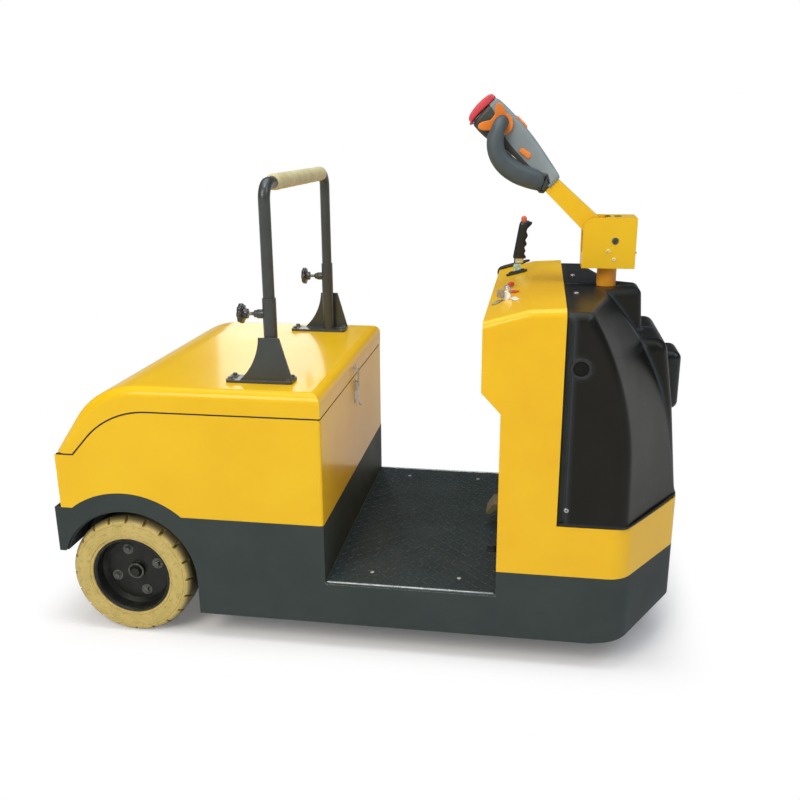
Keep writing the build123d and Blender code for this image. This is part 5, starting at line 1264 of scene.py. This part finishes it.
@dataclass(frozen=True)
class Console:
    """What stands on the console's sloping top: brake lever, boot and edge strip."""

    back_x: float = 388.0
    back_z: float = 1020.0
    slant: float = 35.0 / 122.0
    lever_x: float = 456.0
    lever_y: float = 255.0
    # Height and front edge of the grip
    grip_front: tuple = (
        (1092, 484), (1098, 484.5), (1107, 479), (1117, 482.5), (1128, 479), (1140, 486), (1153, 481.5),
        (1167, 488.5), (1180, 484.5), (1191, 487), (1199, 494), (1207, 501), (1213, 500.5), (1218, 492))
    # Heights, then the back edge or the half width there
    grip_back: tuple = ((1092, 1099, 1205, 1218), (442, 441, 458.5, 464))
    grip_half: tuple = ((1092, 1097, 1150, 1205, 1218), (11, 13, 13, 13, 8.5))
    tip_x: float = 474.0
    tip_z: float = 1214.0
    tip: tuple = ((9, 0), (9.6, 4), (9.6, 10), (8.6, 14.5), (5.5, 18), (2, 19.4), (0, 19.6))
    # Height, place along the vehicle, half length and half width
    ferrule: tuple = ((1076, 461, 13.5, 8), (1086, 462, 14.5, 9), (1093, 464, 15, 9.5))
    band: tuple = ((1048, 456, 12.4, 6.3), (1060, 456.5, 12.6, 6.5), (1074, 457.5, 12.8, 6.6))
    boot_outline: tuple = ((-45, 0), (-30, -14), (34, -17), (43, -10), (43, 10), (34, 17), (-30, 14))
    boot_radii: tuple = (3, 14, 8, 6, 6, 8, 14)
    # Size of each step as a share of the outline, then its underside, top and edge radius
    boot_steps: tuple = (((0.84, 0.9), -0.6, 7.0, 2.2), ((0.62, 0.6), 6.0, 11.5, 1.8))
    strip_y: float = 467.0
    # Place along the vehicle, height and radius
    edge_strip: tuple = (
        (387, 998, 4), (385.5, 1010, 5.5), (390, 1023, 6.5), (404, 1030, 7), (428, 1037, 7), (452, 1044, 7),
        (472, 1050, 6.5), (484, 1054, 5.5), (493, 1056, 4))

    def on_top(self, x: float, y: float, lift: float = 0.0, first: tuple = (1.0, 0.0, 0.0)) -> Seat:
        """A seat square to the sloping top, lift over it, its first direction laid on the slope."""
        z = self.back_z + (x - self.back_x) * self.slant + lift
        return Seat((x, y, z), (-self.slant, 0, 1), first)

    def upright(self, rows: Array, columns: int, power: float, dome: tuple) -> Skin:
        """A box on end, level with the lever: rows of height, place, half length and half width."""
        box = lofted(np.insert(np.array(rows, float), 2, self.lever_y, axis=1), columns, (power, power), dome)
        return skin(Seat(top=(0, 1, 0), first=(0, 0, 1)).put(box))

    def lever(self) -> None:
        """Finger grip, ferrule, tip and band of the parking brake lever."""
        z, front = smooth(self.grip_front, 5).T
        back = np.interp(z, *self.grip_back)
        rows = np.stack((z, (front + back) / 2, (front - back) / 2, np.interp(z, *self.grip_half)), axis=-1)
        build_piece("brake_lever_grip", [self.upright(rows, 40, 0.62, (1.5, 4.0))], BLACK_MOULDING, "chassis",
                    ("handbrake_grip",), Crease.MOULDED)
        tip = turned(Seat((self.tip_x, self.lever_y, self.tip_z)), self.tip, 28)
        build_piece("brake_lever_tip", [tip], CORAL_ACETAL, "chassis", crease=Crease.MOULDED)
        ferrule = self.upright(self.ferrule, 32, 0.5, (1.2, 0.6))
        build_piece("brake_lever_ferrule", [ferrule], ZINC, "chassis", crease=Crease.MOULDED)
        band = self.upright(self.band, 32, 0.3, (0.6, 0.6))
        build_piece("brake_lever_band", [band], GREEN_BAND, "chassis", crease=Crease.MOULDED)

    def boot(self) -> None:
        """Two steps of rubber round the lever's slot, and the strip along the left edge."""
        seat = self.on_top(self.lever_x, self.lever_y)
        outline = rounded(self.boot_outline, self.boot_radii)
        steps = [skin(seat.put(slab(outline * share, low, high, rim, 4)))
                 for share, low, high, rim in self.boot_steps]
        build_piece("brake_lever_boot", steps, SOFT_RUBBER, "chassis", crease=Crease.MOULDED)
        path = smooth(np.insert(np.array(self.edge_strip, float), 1, self.strip_y, axis=1), 5)
        strip = rod(path[:, :3], path[:, 3], (0, 1, 0), 20, 0.8)
        build_piece("console_edge_strip", [skin(strip)], SOFT_RUBBER, "chassis", crease=Crease.MOULDED)

    def build(self) -> None:
        """Makes the lever's dress, its boot and the strip."""
        self.lever()
        self.boot()


@dataclass(frozen=True)
class KeySet:
    """Switch with its key, ball chain, ring and blank tags, lying on the console's slope."""

    console: Console = Console()
    barrel_at: tuple = (435.0, -10.0)
    barrel: tuple = (
        (16.5, -0.5), (16.5, 2), (15.5, 3.4), (12.5, 3.8), (12, 7.6), (11, 8.6), (5, 8.8), (4.6, 7.2),
        (0, 7.2))
    blade: tuple = ((-1.2, -3.4), (1.2, 3.4))
    blade_span: tuple = (7.0, 16.0)
    head_at: tuple = (446.0, -32.0, 13.0, (1.0, 0.4, 0.0))
    head: tuple = (
        (-11, 0, 0, 2.6, 3), (-8, 0, 0, 3.0, 6.5), (0, 0, 0, 3.2, 8), (8, 0, 0, 3.0, 6.5), (11, 0, 0, 2.6, 3))
    # Place along the vehicle and across it, and height over the slope
    chain: tuple = (
        (437, -24, 17), (440, -44, 8), (446, -66, 2.6), (452, -96, 2.4), (446, -128, 2.4), (436, -156, 2.4))
    bead: tuple = ((0, -2.2), (1.6, -1.5), (2.2, 0), (1.6, 1.5), (0, 2.2))
    ring_at: tuple = (438, -170, 2.0)
    ring: tuple = ((12.5, -0.8), (13.6, 0), (12.5, 0.8), (11.4, 0))
    fob_seat: Seat = Seat((436, -214, 1046), (0.05, -0.86, 0.5))
    fob: tuple = ((13, -2.2), (14.6, -1), (14.6, 1), (13, 2.2), (9, 2.0), (8.4, 1.2), (0, 1.0))
    tag_base: float = 0.4
    white: tuple = ((-8, -34), (8, -34), (9, 30), (-9, 30))
    white_top: float = 3.0
    white_at: tuple = (464, -244, 0.4, (1, 0.25, 0))
    brown: tuple = ((-11, -10), (11, 14))
    brown_half: float = 1.2
    brown_seat: Seat = Seat((423, -226, 1052), (0.1, -0.86, 0.5))
    # The flat tags: name, finish, half sizes, corner radius, height of the top, and place
    flat_tags: tuple = (
        ("key_tag_grey", GREY_TAG, (9, 24), 5, 3.2, (414, -232, 0.4, (1, -0.35, 0))),
        ("key_tag_red", RED_TAG, (9, 26), 6, 3.4, (458, -120, 0.4, (1, 0.5, 0))))

    def build(self) -> None:
        """Makes switch, key, chain and tags."""
        place = self.console.on_top
        seat = place(*self.barrel_at)
        barrel = turned(seat, self.barrel, 36)
        blade = skin(seat.put(slab(panel(*self.blade, 0.5), *self.blade_span, 0.4, 2)))
        build_piece("key_switch_barrel", [barrel, blade], ZINC, "chassis", ("key_switch",), Crease.CUT)
        head = lofted(self.head, 24, (0.6, 0.6), (2.0, 2.0))
        build_piece("key_head", [skin(place(*self.head_at).put(head))], RED_TAG, "chassis",
                    crease=Crease.MOULDED)
        balls = [turned(place(x, y, lift), self.bead, 8) for x, y, lift in smooth(self.chain, 9)]
        ring = turned(place(*self.ring_at), self.ring, 32, ring=True)
        build_piece("key_chain", [*balls, ring], ZINC, "chassis", crease=Crease.TURNED)
        fob = turned(self.fob_seat, self.fob, 36)
        white = slab(rounded(self.white, 6), self.tag_base, self.white_top, 1.0)
        white = skin(place(*self.white_at).put(white))
        build_piece("key_tags_white", [fob, white], WHITE_TAG, "chassis", crease=Crease.MOULDED)
        brown = slab(panel(*self.brown, 3), -self.brown_half, self.brown_half)
        build_piece("key_tag_brown", [skin(self.brown_seat.put(brown))], BROWN_TAG, "chassis",
                    crease=Crease.MOULDED)
        for name, finish, (a, b), radius, thick, spot in self.flat_tags:
            tag = slab(panel((-a, -b), (a, b), radius), self.tag_base, thick, 1.0)
            build_piece(name, [skin(place(*spot).put(tag))], finish, "chassis", crease=Crease.MOULDED)


@dataclass(frozen=True)
class ToggleLatch:
    """Draw latch on the box's front: base, lever and bail on the box, hooked keeper on the lid."""

    face_x: float = -62.0
    half: float = 13.0
    base_z: tuple = (636.0, 716.0)
    keeper_z: tuple = (741.0, 768.0)
    sheet: tuple = (-0.3, 1.8)
    # How much further than drawn the bent strips stand from the box's face
    proud: float = 1.5
    # Distance from the box's face, and height
    lever: tuple = ((13.5, 628), (9.5, 638), (7.4, 652), (7.8, 680), (6.6, 700), (3.2, 708))
    lever_size: tuple = (17.5, 1.8)
    hook: tuple = ((1.5, 753), (3.0, 754), (4.6, 756.5), (5.4, 759.5))
    hook_size: tuple = (13.0, 1.6)
    cheek: tuple = ((1, 680), (13, 685), (14.2, 698), (11, 707), (1, 710))
    cheek_y: tuple = (9.4, 10.8)
    rivet: tuple = ((3.6, 0), (3.4, 1.2), (2, 2.1), (0, 2.4))
    rivets_z: tuple = (642.0, 713.0)
    pin: tuple = ((2.6, 0), (2.4, 0.9), (1.4, 1.6), (0, 1.8))
    pin_y: float = 8.0
    pin_z: float = 763.0
    bail_depth: float = 8.4
    bail_r: float = 1.5
    # One leg of the bail, from its foot up to the hook: depth past the bail's own, place across, height
    bail_leg: tuple = ((-1, 7.6, 696), (0, 7.6, 716), (0, 7.6, 747), (0, 6.6, 756), (0, 3.5, 759))

    def strip(self, knots: tuple, width: float, thick: float) -> Skin:
        """A bent strip of sheet: a flat rounded outline carried along a curve in x and z.

        Args:
            knots: rows of distance from the box's face and height.
            width: the strip's width.
            thick: its thickness.

        Returns:
            The surface.
        """
        curve = smooth(knots)
        path = np.stack((self.face_x + self.proud * curve[:, 0], np.zeros(len(curve)), curve[:, 1]), axis=-1)
        outline = panel((-width / 2, -thick / 2), (width / 2, thick / 2), 0.45 * thick, 3)
        return skin(carried(path, outline[:, ::-1], (0, 1, 0)))

    def sheet_plate(self, low: float, high: float) -> Skin:
        """A plate of sheet on the box's face, from its lower to its upper edge."""
        plate = slab(panel((-self.half, low), (self.half, high), 3.5), *self.sheet, 0.6, 2)
        return skin(facing_along(self.face_x, 0, 0).put(plate))

    def build(self) -> None:
        """Makes the latch and its keeper."""
        cheeks = []
        for side in SIDES:
            cheek = slab(rounded(self.cheek, 1.8), *self.cheek_y, 0.4, 2) * (1, -side, 1)
            cheeks.append(skin(Seat((self.face_x, 0, 0), (0, side, 0)).put(cheek)))
        front = self.face_x + 1.6
        rivets = [turned(facing_along(front, 0, z), self.rivet, 18) for z in self.rivets_z]
        leg = np.array(self.bail_leg) + (self.face_x + self.bail_depth * self.proud, 0, 0)
        wire = smooth(np.vstack((leg * (1, -1, 1), leg[::-1])))
        bail = skin(rod(wire, self.bail_r, (1, 0, 0), 12, 0.5))
        base, lever = self.sheet_plate(*self.base_z), self.strip(self.lever, *self.lever_size)
        build_piece("draw_latch", [base, lever, *cheeks, *rivets, bail], ZINC, "chassis",
                    ("latch",), Crease.LOBED)
        keeper, hook = self.sheet_plate(*self.keeper_z), self.strip(self.hook, *self.hook_size)
        pins = [turned(facing_along(front, y, self.pin_z), self.pin, 16) for y in (-self.pin_y, self.pin_y)]
        build_piece("latch_hook_plate", [keeper, hook, *pins], ZINC, "lid", ("latch_keeper",), Crease.LOBED)


@dataclass(frozen=True)
class FrontCover:
    """Screws, edge bead, hole grommets, seam lips and head lamp glass of the front cover."""

    flank_screw_at: tuple = (631.0, 473.0, 496.0)
    flank_screw: tuple = (7.0, 5.5)
    deck_screw_at: tuple = (640.0, 170.0, 1050.0)
    deck_screw: tuple = (7.5, 3.4)
    hole_at: tuple = (650.0, 476.6, 902.0)
    rim: tuple = (
        (29.5, -0.5), (29.2, 1.2), (27.8, 2.6), (25.6, 3.2), (23.4, 2.9), (21.6, 1.6), (20.6, -0.4),
        (0, -0.4))
    shade_disc: tuple = ((20.9, -0.2), (20.9, 0.1), (20.0, 0.5), (8, 0.2), (0, 0.1))
    # Place along the vehicle and across it
    bead: tuple = (
        (611, 476), (700, 476), (776, 476), (792, 473), (806, 463), (880, 346), (944, 236), (957, 212),
        (962, 190), (962, 90), (962, 2))
    bead_z: float = 452.5
    bead_r: float = 3.4
    seam: tuple = (611.0, 722.0)
    seam_y: float = 5.5
    seam_z: float = 1050.0
    lip_r: float = 3.6
    lip_oval: tuple = (1.0, 0.7)
    lamp_at: tuple = (963.0, 0.0, 768.0)
    lamp_half: tuple = (47.5, 64.5)
    lamp_corner: float = 11.0
    bowl: float = 2.6
    flute: float = 0.3
    flute_width: float = 1.9
    glass: tuple = (3.9, 5.6)

    def fastenings(self) -> None:
        """Pale screws on the deck and low on each flank."""
        x, y, z = self.deck_screw_at
        heads = [screw(Seat((x, side * y, z)), *self.deck_screw) for side in SIDES]
        x, y, z = self.flank_screw_at
        heads += [screw(facing_out(x, side * y, z), *self.flank_screw) for side in SIDES]
        build_piece("cover_screws", heads, ZINC, "chassis")

    def edging(self) -> None:
        """Bead along the cover's foot, lips of its seam, and a rolled rim in each round hole with a
        near-black disc of painted shade behind it."""
        path = smooth(np.insert(np.array(self.bead, float), 2, self.bead_z, axis=1), 4)
        beads = [skin(rod(path * (1, side, 1), self.bead_r, (0, 0, 1), 12, 0.4)) for side in SIDES]
        build_piece("cover_foot_bead", beads, COVER_PLASTIC, "chassis", crease=Crease.MOULDED)
        lips = [skin(rod(straight(*self.seam, y, self.seam_z, 8), self.lip_r, (0, 0, 1), dome=0.4,
                         oval=self.lip_oval)) for y in (-self.seam_y, self.seam_y)]
        build_piece("cover_seam_lips", lips, COVER_PLASTIC, "chassis", crease=Crease.MOULDED)
        x, y, z = self.hole_at
        holes = [facing_out(x, side * y, z) for side in SIDES]
        rims = [turned(seat, self.rim, 48) for seat in holes]
        build_piece("cover_hole_grommets", rims, RUBBED_RUBBER, "chassis", crease=Crease.TURNED)
        # Near-black discs in the holes: painted shade standing for the holes' depth
        shade_discs = [turned(seat, self.shade_disc, 48) for seat in holes]
        build_piece("cover_hole_shade_discs", shade_discs, SHADE_BLACK, "chassis", crease=Crease.TURNED)

    def lamp(self) -> None:
        """Reflector with a shallow bowl and flutes under a clear face.

        At share s of the way out the bowl rises by its depth times s^2, and the flutes by
        theirs times the cosine of the place across over their width.
        """
        a, b = self.lamp_half
        edge = panel((-a, -b), (a, b), self.lamp_corner, 8)
        share = np.linspace(1, 0, 14)[:, None, None]
        flat = edge[None] * share
        depth = 0.6 + self.bowl * share[..., 0] ** 2 + self.flute * np.cos(flat[..., 0] / self.flute_width)
        bowl = np.concatenate((flat, depth[..., None]), axis=-1)
        seat = facing_along(*self.lamp_at)
        build_piece("lamp_reflector", [skin(seat.put(bowl))], MIRROR_COAT, "chassis",
                    ("head_lamp_lens",), Crease.TURNED)
        glass = slab(edge * 0.995, *self.glass, 1.2, rings=4)
        build_piece("lamp_face", [skin(seat.put(glass))], CLEAR_FACE, "chassis", crease=Crease.TURNED)

    def build(self) -> None:
        """Makes all of it."""
        self.fastenings()
        self.edging()
        self.lamp()


@dataclass(frozen=True)
class TillerFittings:
    """On the tiller's housing: pivot bolts, cheek screws, a stop stud and dark plates of painted shade under
    its slots.
    """

    cheek_y: float = 65.0
    pivot: tuple = (750.0, 1190.0)
    washer: tuple = ((10.4, -0.4), (10.4, 0.9), (9.9, 1.7), (7.9, 2.1), (7.0, 1.7), (6.6, 0.4), (0, 0.4))
    # Radius, height and share of the socket's six sides
    pivot_bolt: tuple = (
        (6.8, 0.2), (6.8, 2.0), (6.3, 3.0), (5.2, 3.6), (4.2, 3.8), (4, 3.4, 1), (3.6, 1.6, 1), (0, 1.4, 1))
    screws: tuple = ((731.0, 1160.0), (749.0, 1135.0))
    screw_size: tuple = (5.6, 2.8)
    stop_at: tuple = (811.0, -30.0, 1152.0)
    stop: tuple = ((5, -0.4), (5, 1.5), (3.2, 2.2), (3.2, 5), (2, 5.8), (0, 6))
    shade_plate_z: tuple = (1255.6, 1257.4)
    # Back end, front end and half width
    slots: tuple = ((722.4, 735.6, 21.6), (748.4, 767.6, 16.0))

    def build(self) -> None:
        """Makes washers, bolts, screws, stop and shade plates."""
        x, z = self.pivot
        seats = [facing_out(x, side * self.cheek_y, z) for side in SIDES]
        washers = [turned(seat, self.washer, 40) for seat in seats]
        build_piece("tiller_pivot_washers", washers, SCUFFED_GLINTING_STEEL, "steering")
        bolts = [turned(seat, self.pivot_bolt, 36) for seat in seats]
        build_piece("tiller_pivot_bolts", bolts, OLIVE_STEEL, "steering")
        small = [screw(facing_out(x, side * self.cheek_y, z), *self.screw_size)
                 for x, z in self.screws for side in SIDES]
        build_piece("tiller_cheek_screws", small, STRAW_HIGHLIGHT_ZINC, "steering")
        stop = turned(facing_along(*self.stop_at), self.stop, 20)
        build_piece("tiller_stop_stud", [stop], DARK_STEEL, "steering")
        # Near-black plates under the housing's slots: painted shade
        low, high = self.shade_plate_z
        shade_plates = [skin(slab(panel((back, -half), (front, half), 2.0, 3), low, high, 0.2, 2))
                  for back, front, half in self.slots]
        build_piece("tiller_slot_shade_plates", shade_plates, SHADE_BLACK, "steering", crease=Crease.MOULDED)


@dataclass(frozen=True)
class RearFittings:
    """Hinge screws, hitch plate bolts and the drop pin's ring with its eye."""

    hinge_at: tuple = (-887.0, 260.0, 556.0)
    hinge_steps: tuple = (-30, 0, 30)
    hinge_screw: tuple = (4.6, 2.4)
    hitch_at: tuple = (-917.0, 74.0, 340.0)
    hitch_bolt: tuple = (19.0, 9.0, 2.2)
    pin_x: float = -943.0
    ring_z: float = 406.0
    ring_r: float = 17.0
    wire_r: float = 2.2
    eye_z: float = 386.8
    eye: tuple = ((8, -0.5), (7, 4), (5, 8), (3, 9.5), (0, 10))

    def build(self) -> None:
        """Makes screws, bolts and ring."""
        x, y, z = self.hinge_at
        screws = [screw(facing_along(x, side * y + step, z, -1), *self.hinge_screw)
                  for side in SIDES for step in self.hinge_steps]
        build_piece("hinge_screws", screws, ZINC, "chassis")
        x, y, z = self.hitch_at
        bolts = [bolt(facing_along(x, side * y, z, -1), *self.hitch_bolt) for side in SIDES]
        build_piece("hitch_plate_bolts", bolts, DARK_STEEL, "chassis")
        wire = circle(self.wire_r, 12) * (-1, 1) + (self.ring_r, 0)
        ring = turned(facing_along(self.pin_x, 0, self.ring_z), wire, 40, ring=True)
        eye = turned(Seat((self.pin_x, 0, self.eye_z)), self.eye, 20)
        build_piece("drop_pin_ring", [ring, eye], BRIGHT_STEEL, "tow_pin", crease=Crease.MOULDED)


# Studio


def stand(name: str, data: bpy.types.ID, axes: tuple, place: tuple) -> bpy.types.Object:
    """Puts a lens or a lamp into the scene.

    Args:
        name: the object's name.
        data: the lens or lamp.
        axes: which way its right, its top and its back point.
        place: where it stands, in metres.

    Returns:
        The object.
    """
    holder = bpy.data.objects.new(name, data)
    turn = np.eye(4)
    turn[:3] = np.column_stack((*axes, place))
    holder.matrix_world = Matrix(turn.tolist())
    bpy.context.scene.collection.objects.link(holder)
    return holder


@dataclass(frozen=True)
class Viewpoint:
    """Where the photograph was taken from, in metres and degrees."""

    place: tuple = (0.528, -2.751, 1.497)
    yaw: float = 9.04
    pitch: float = -16.9
    roll: float = -0.35
    focal_px: float = 875.1
    image_px: float = 800.0
    sensor_mm: float = 36.0
    clip: tuple = (0.05, 80.0)

    def camera(self) -> bpy.types.Object:
        """Makes the scene's camera.

        Returns:
            The camera object.
        """
        yaw, pitch, roll = np.radians((self.yaw, self.pitch, self.roll))
        ahead = np.array([-np.sin(yaw) * np.cos(pitch), np.cos(yaw) * np.cos(pitch), np.sin(pitch)])
        level = np.array([np.cos(yaw), np.sin(yaw), 0.0])
        above = np.cross(level, ahead)
        right = np.cos(roll) * level + np.sin(roll) * above
        upward = -np.sin(roll) * level + np.cos(roll) * above
        lens = bpy.data.cameras.new("photo_camera")
        lens.sensor_width = self.sensor_mm
        lens.lens = self.focal_px / self.image_px * self.sensor_mm
        lens.clip_start, lens.clip_end = self.clip
        holder = stand("photo_camera", lens, (right, upward, -ahead), self.place)
        bpy.context.scene.camera = holder
        return holder


@dataclass(frozen=True)
class Softbox:
    """A square lamp: its place, what it points at, its side in metres, watts and colour."""

    name: str
    place: tuple
    aim: tuple
    side: float
    watts: float
    colour: str

    def hang(self) -> bpy.types.Object:
        """Hangs the lamp in the scene.

        Returns:
            The lamp object.
        """
        lamp = bpy.data.lights.new(self.name, "AREA")
        lamp.shape, lamp.size = "SQUARE", self.side
        lamp.energy, lamp.color = self.watts, linear(self.colour)[:3]
        back = np.array(self.place) - np.array(self.aim)
        back = back / np.linalg.norm(back)
        level = np.cross((0, 0, 1), back)
        level = level / np.linalg.norm(level)
        holder = stand(self.name, lamp, (level, np.cross(back, level), back), self.place)
        holder.visible_camera = False
        return holder


@dataclass(frozen=True)
class Studio:
    """Pale floor that fades to white, soft sky and five softboxes."""

    floor_side: float = 60.0
    floor_colour: str = "#F4F4F3"
    floor_lift: float = 0.1
    dark_half: tuple = (0.9, 0.4)
    fade: float = 0.21
    sky_colour: str = "#FBFBFF"
    sky_strength: float = 0.46
    ceiling: str = "#3E4650"
    ceiling_rise: tuple = (-0.02, 0.13)
    mirrored_strength: float = 0.6
    lamps: tuple = (
        Softbox("key_softbox", (-1.8, -4.4, 4.2), (0, 0, 0.5), 2.6, 150, "#FFF8EE"),
        Softbox("fill_softbox", (2.9, -1.0, 3.7), (0.5, 0, 0.7), 1.8, 32, "#E6F0FF"),
        Softbox("top_softbox", (-0.3, 0.5, 4.4), (-0.1, 0, 0.6), 3.2, 62, "#F4F8FF"),
        Softbox("edge_softbox", (0.15, -0.95, 4.2), (0.1, -0.3, 0.6), 1.1, 24, "#FFFFFF"),
        Softbox("lid_softbox", (-1.4, 3.5, 1.7), (-0.35, 0.1, 0.8), 0.9, 6.4, "#FFFFFF"),
    )

    def floor(self) -> bpy.types.Object:
        """Lays the floor: matt and shadowed near the object, plain white further off.

        Returns:
            The floor object.
        """
        mesh = bpy.data.meshes.new("studio_floor")
        corners = np.array([(-1, -1, 0), (1, -1, 0), (1, 1, 0), (-1, 1, 0)]) * self.floor_side / 2
        mesh.from_pydata(corners.tolist(), [], [[0, 1, 2, 3]])
        floor = bpy.data.objects.new("studio_floor", mesh)
        bpy.context.scene.collection.objects.link(floor)
        cover = bpy.data.materials.new("studio_floor")
        cover.use_nodes = True
        tree = cover.node_tree
        tree.nodes.clear()
        seen = self.seen(tree)
        glow = calculated(tree, "MULTIPLY", seen, self.floor_lift)
        paper = add_node(tree, "ShaderNodeBsdfDiffuse", {"Color": linear(self.floor_colour)})
        lifted = add_node(tree, "ShaderNodeEmission", {"Color": WHITE, "Strength": glow})
        near = add_node(tree, "ShaderNodeAddShader", {0: paper.outputs[0], 1: lifted.outputs[0]})
        plain = add_node(tree, "ShaderNodeEmission", {"Color": WHITE, "Strength": self.strength(tree)})
        share = calculated(tree, "MULTIPLY", self.far(tree), seen)
        mixed = add_node(tree, "ShaderNodeMixShader", {0: share, 1: near.outputs[0], 2: plain.outputs[0]})
        add_node(tree, "ShaderNodeOutputMaterial", {"Surface": mixed.outputs[0]})
        mesh.materials.append(cover)
        return floor

    def far(self, tree: Tree) -> Socket:
        """Nought under the object and one far off, by the distance from a rectangle: the length
        of what |x| and |y| have over the rectangle's half sizes.

        Args:
            tree: the floor's nodes.

        Returns:
            The share of plain white.
        """
        place = add_node(tree, "ShaderNodeTexCoord").outputs["Object"]
        past = vector(tree, "SUBTRACT", vector(tree, "ABSOLUTE", place), (*self.dark_half, 0))
        outside = vector(tree, "MAXIMUM", past, (0, 0, 0))
        reach = vector(tree, "LENGTH", outside, result="Value")
        return remapped(tree, reach, (0.0, self.fade), kind="SMOOTHSTEP")

    def seen(self, tree: Tree) -> Socket:
        """One for rays that come from the camera, a mirror or glass, and nought for the rest.

        Args:
            tree: the nodes that get the test.

        Returns:
            The test's value.
        """
        path = add_node(tree, "ShaderNodeLightPath").outputs
        either = calculated(tree, "MAXIMUM", path["Is Camera Ray"], path["Is Glossy Ray"])
        return calculated(tree, "MAXIMUM", either, path["Is Transmission Ray"])

    def strength(self, tree: Tree) -> Socket:
        """Brightness of the plain background: one to the camera, dimmer in a mirror."""
        mirrored = add_node(tree, "ShaderNodeLightPath").outputs["Is Glossy Ray"]
        return remapped(tree, mirrored, (0.0, 1.0), (1.0, self.mirrored_strength))

    def sky(self) -> None:
        """Sets the world: a dim even light, seen as plain white, and mirrored as white low down
        with a dark ceiling above."""
        world = bpy.data.worlds.new("studio_sky")
        bpy.context.scene.world = world
        world.use_nodes = True
        tree = world.node_tree
        tree.nodes.clear()
        way = add_node(tree, "ShaderNodeTexCoord").outputs["Generated"]
        height = add_node(tree, "ShaderNodeSeparateXYZ", {0: way}).outputs["Z"]
        mirrored = add_node(tree, "ShaderNodeLightPath").outputs["Is Glossy Ray"]
        rise = remapped(tree, height, self.ceiling_rise, kind="SMOOTHSTEP")
        shown = blend(tree, calculated(tree, "MULTIPLY", rise, mirrored), WHITE, linear(self.ceiling))
        light = add_node(tree, "ShaderNodeBackground", {
            "Color": linear(self.sky_colour), "Strength": self.sky_strength})
        view = add_node(tree, "ShaderNodeBackground", {"Color": shown, "Strength": self.strength(tree)})
        mixed = add_node(tree, "ShaderNodeMixShader", {
            0: self.seen(tree), 1: light.outputs[0], 2: view.outputs[0]})
        add_node(tree, "ShaderNodeOutputWorld", {"Surface": mixed.outputs[0]})

    def build(self) -> None:
        """Sets up floor, sky, lamps, camera and the plain view transform."""
        self.floor()
        self.sky()
        for lamp in self.lamps:
            lamp.hang()
        Viewpoint().camera()
        bpy.context.scene.view_settings.view_transform = "Standard"


def main() -> None:
    """Builds the studio and the sub-assemblies in order, and reports each piece."""
    logging.basicConfig(level=logging.INFO, format="%(message)s")
    Studio().build()
    log.info("dressed %d solids", dress_nodes())
    for side, sign in (("right", -1), ("left", 1)):
        RearWheel(side, sign).build()
    for assembly in (TreadPlate, Backrest, TillerHead, Console, KeySet, ToggleLatch, FrontCover,
                     TillerFittings, RearFittings):
        assembly().build()


if __name__ == "__main__":
    main()
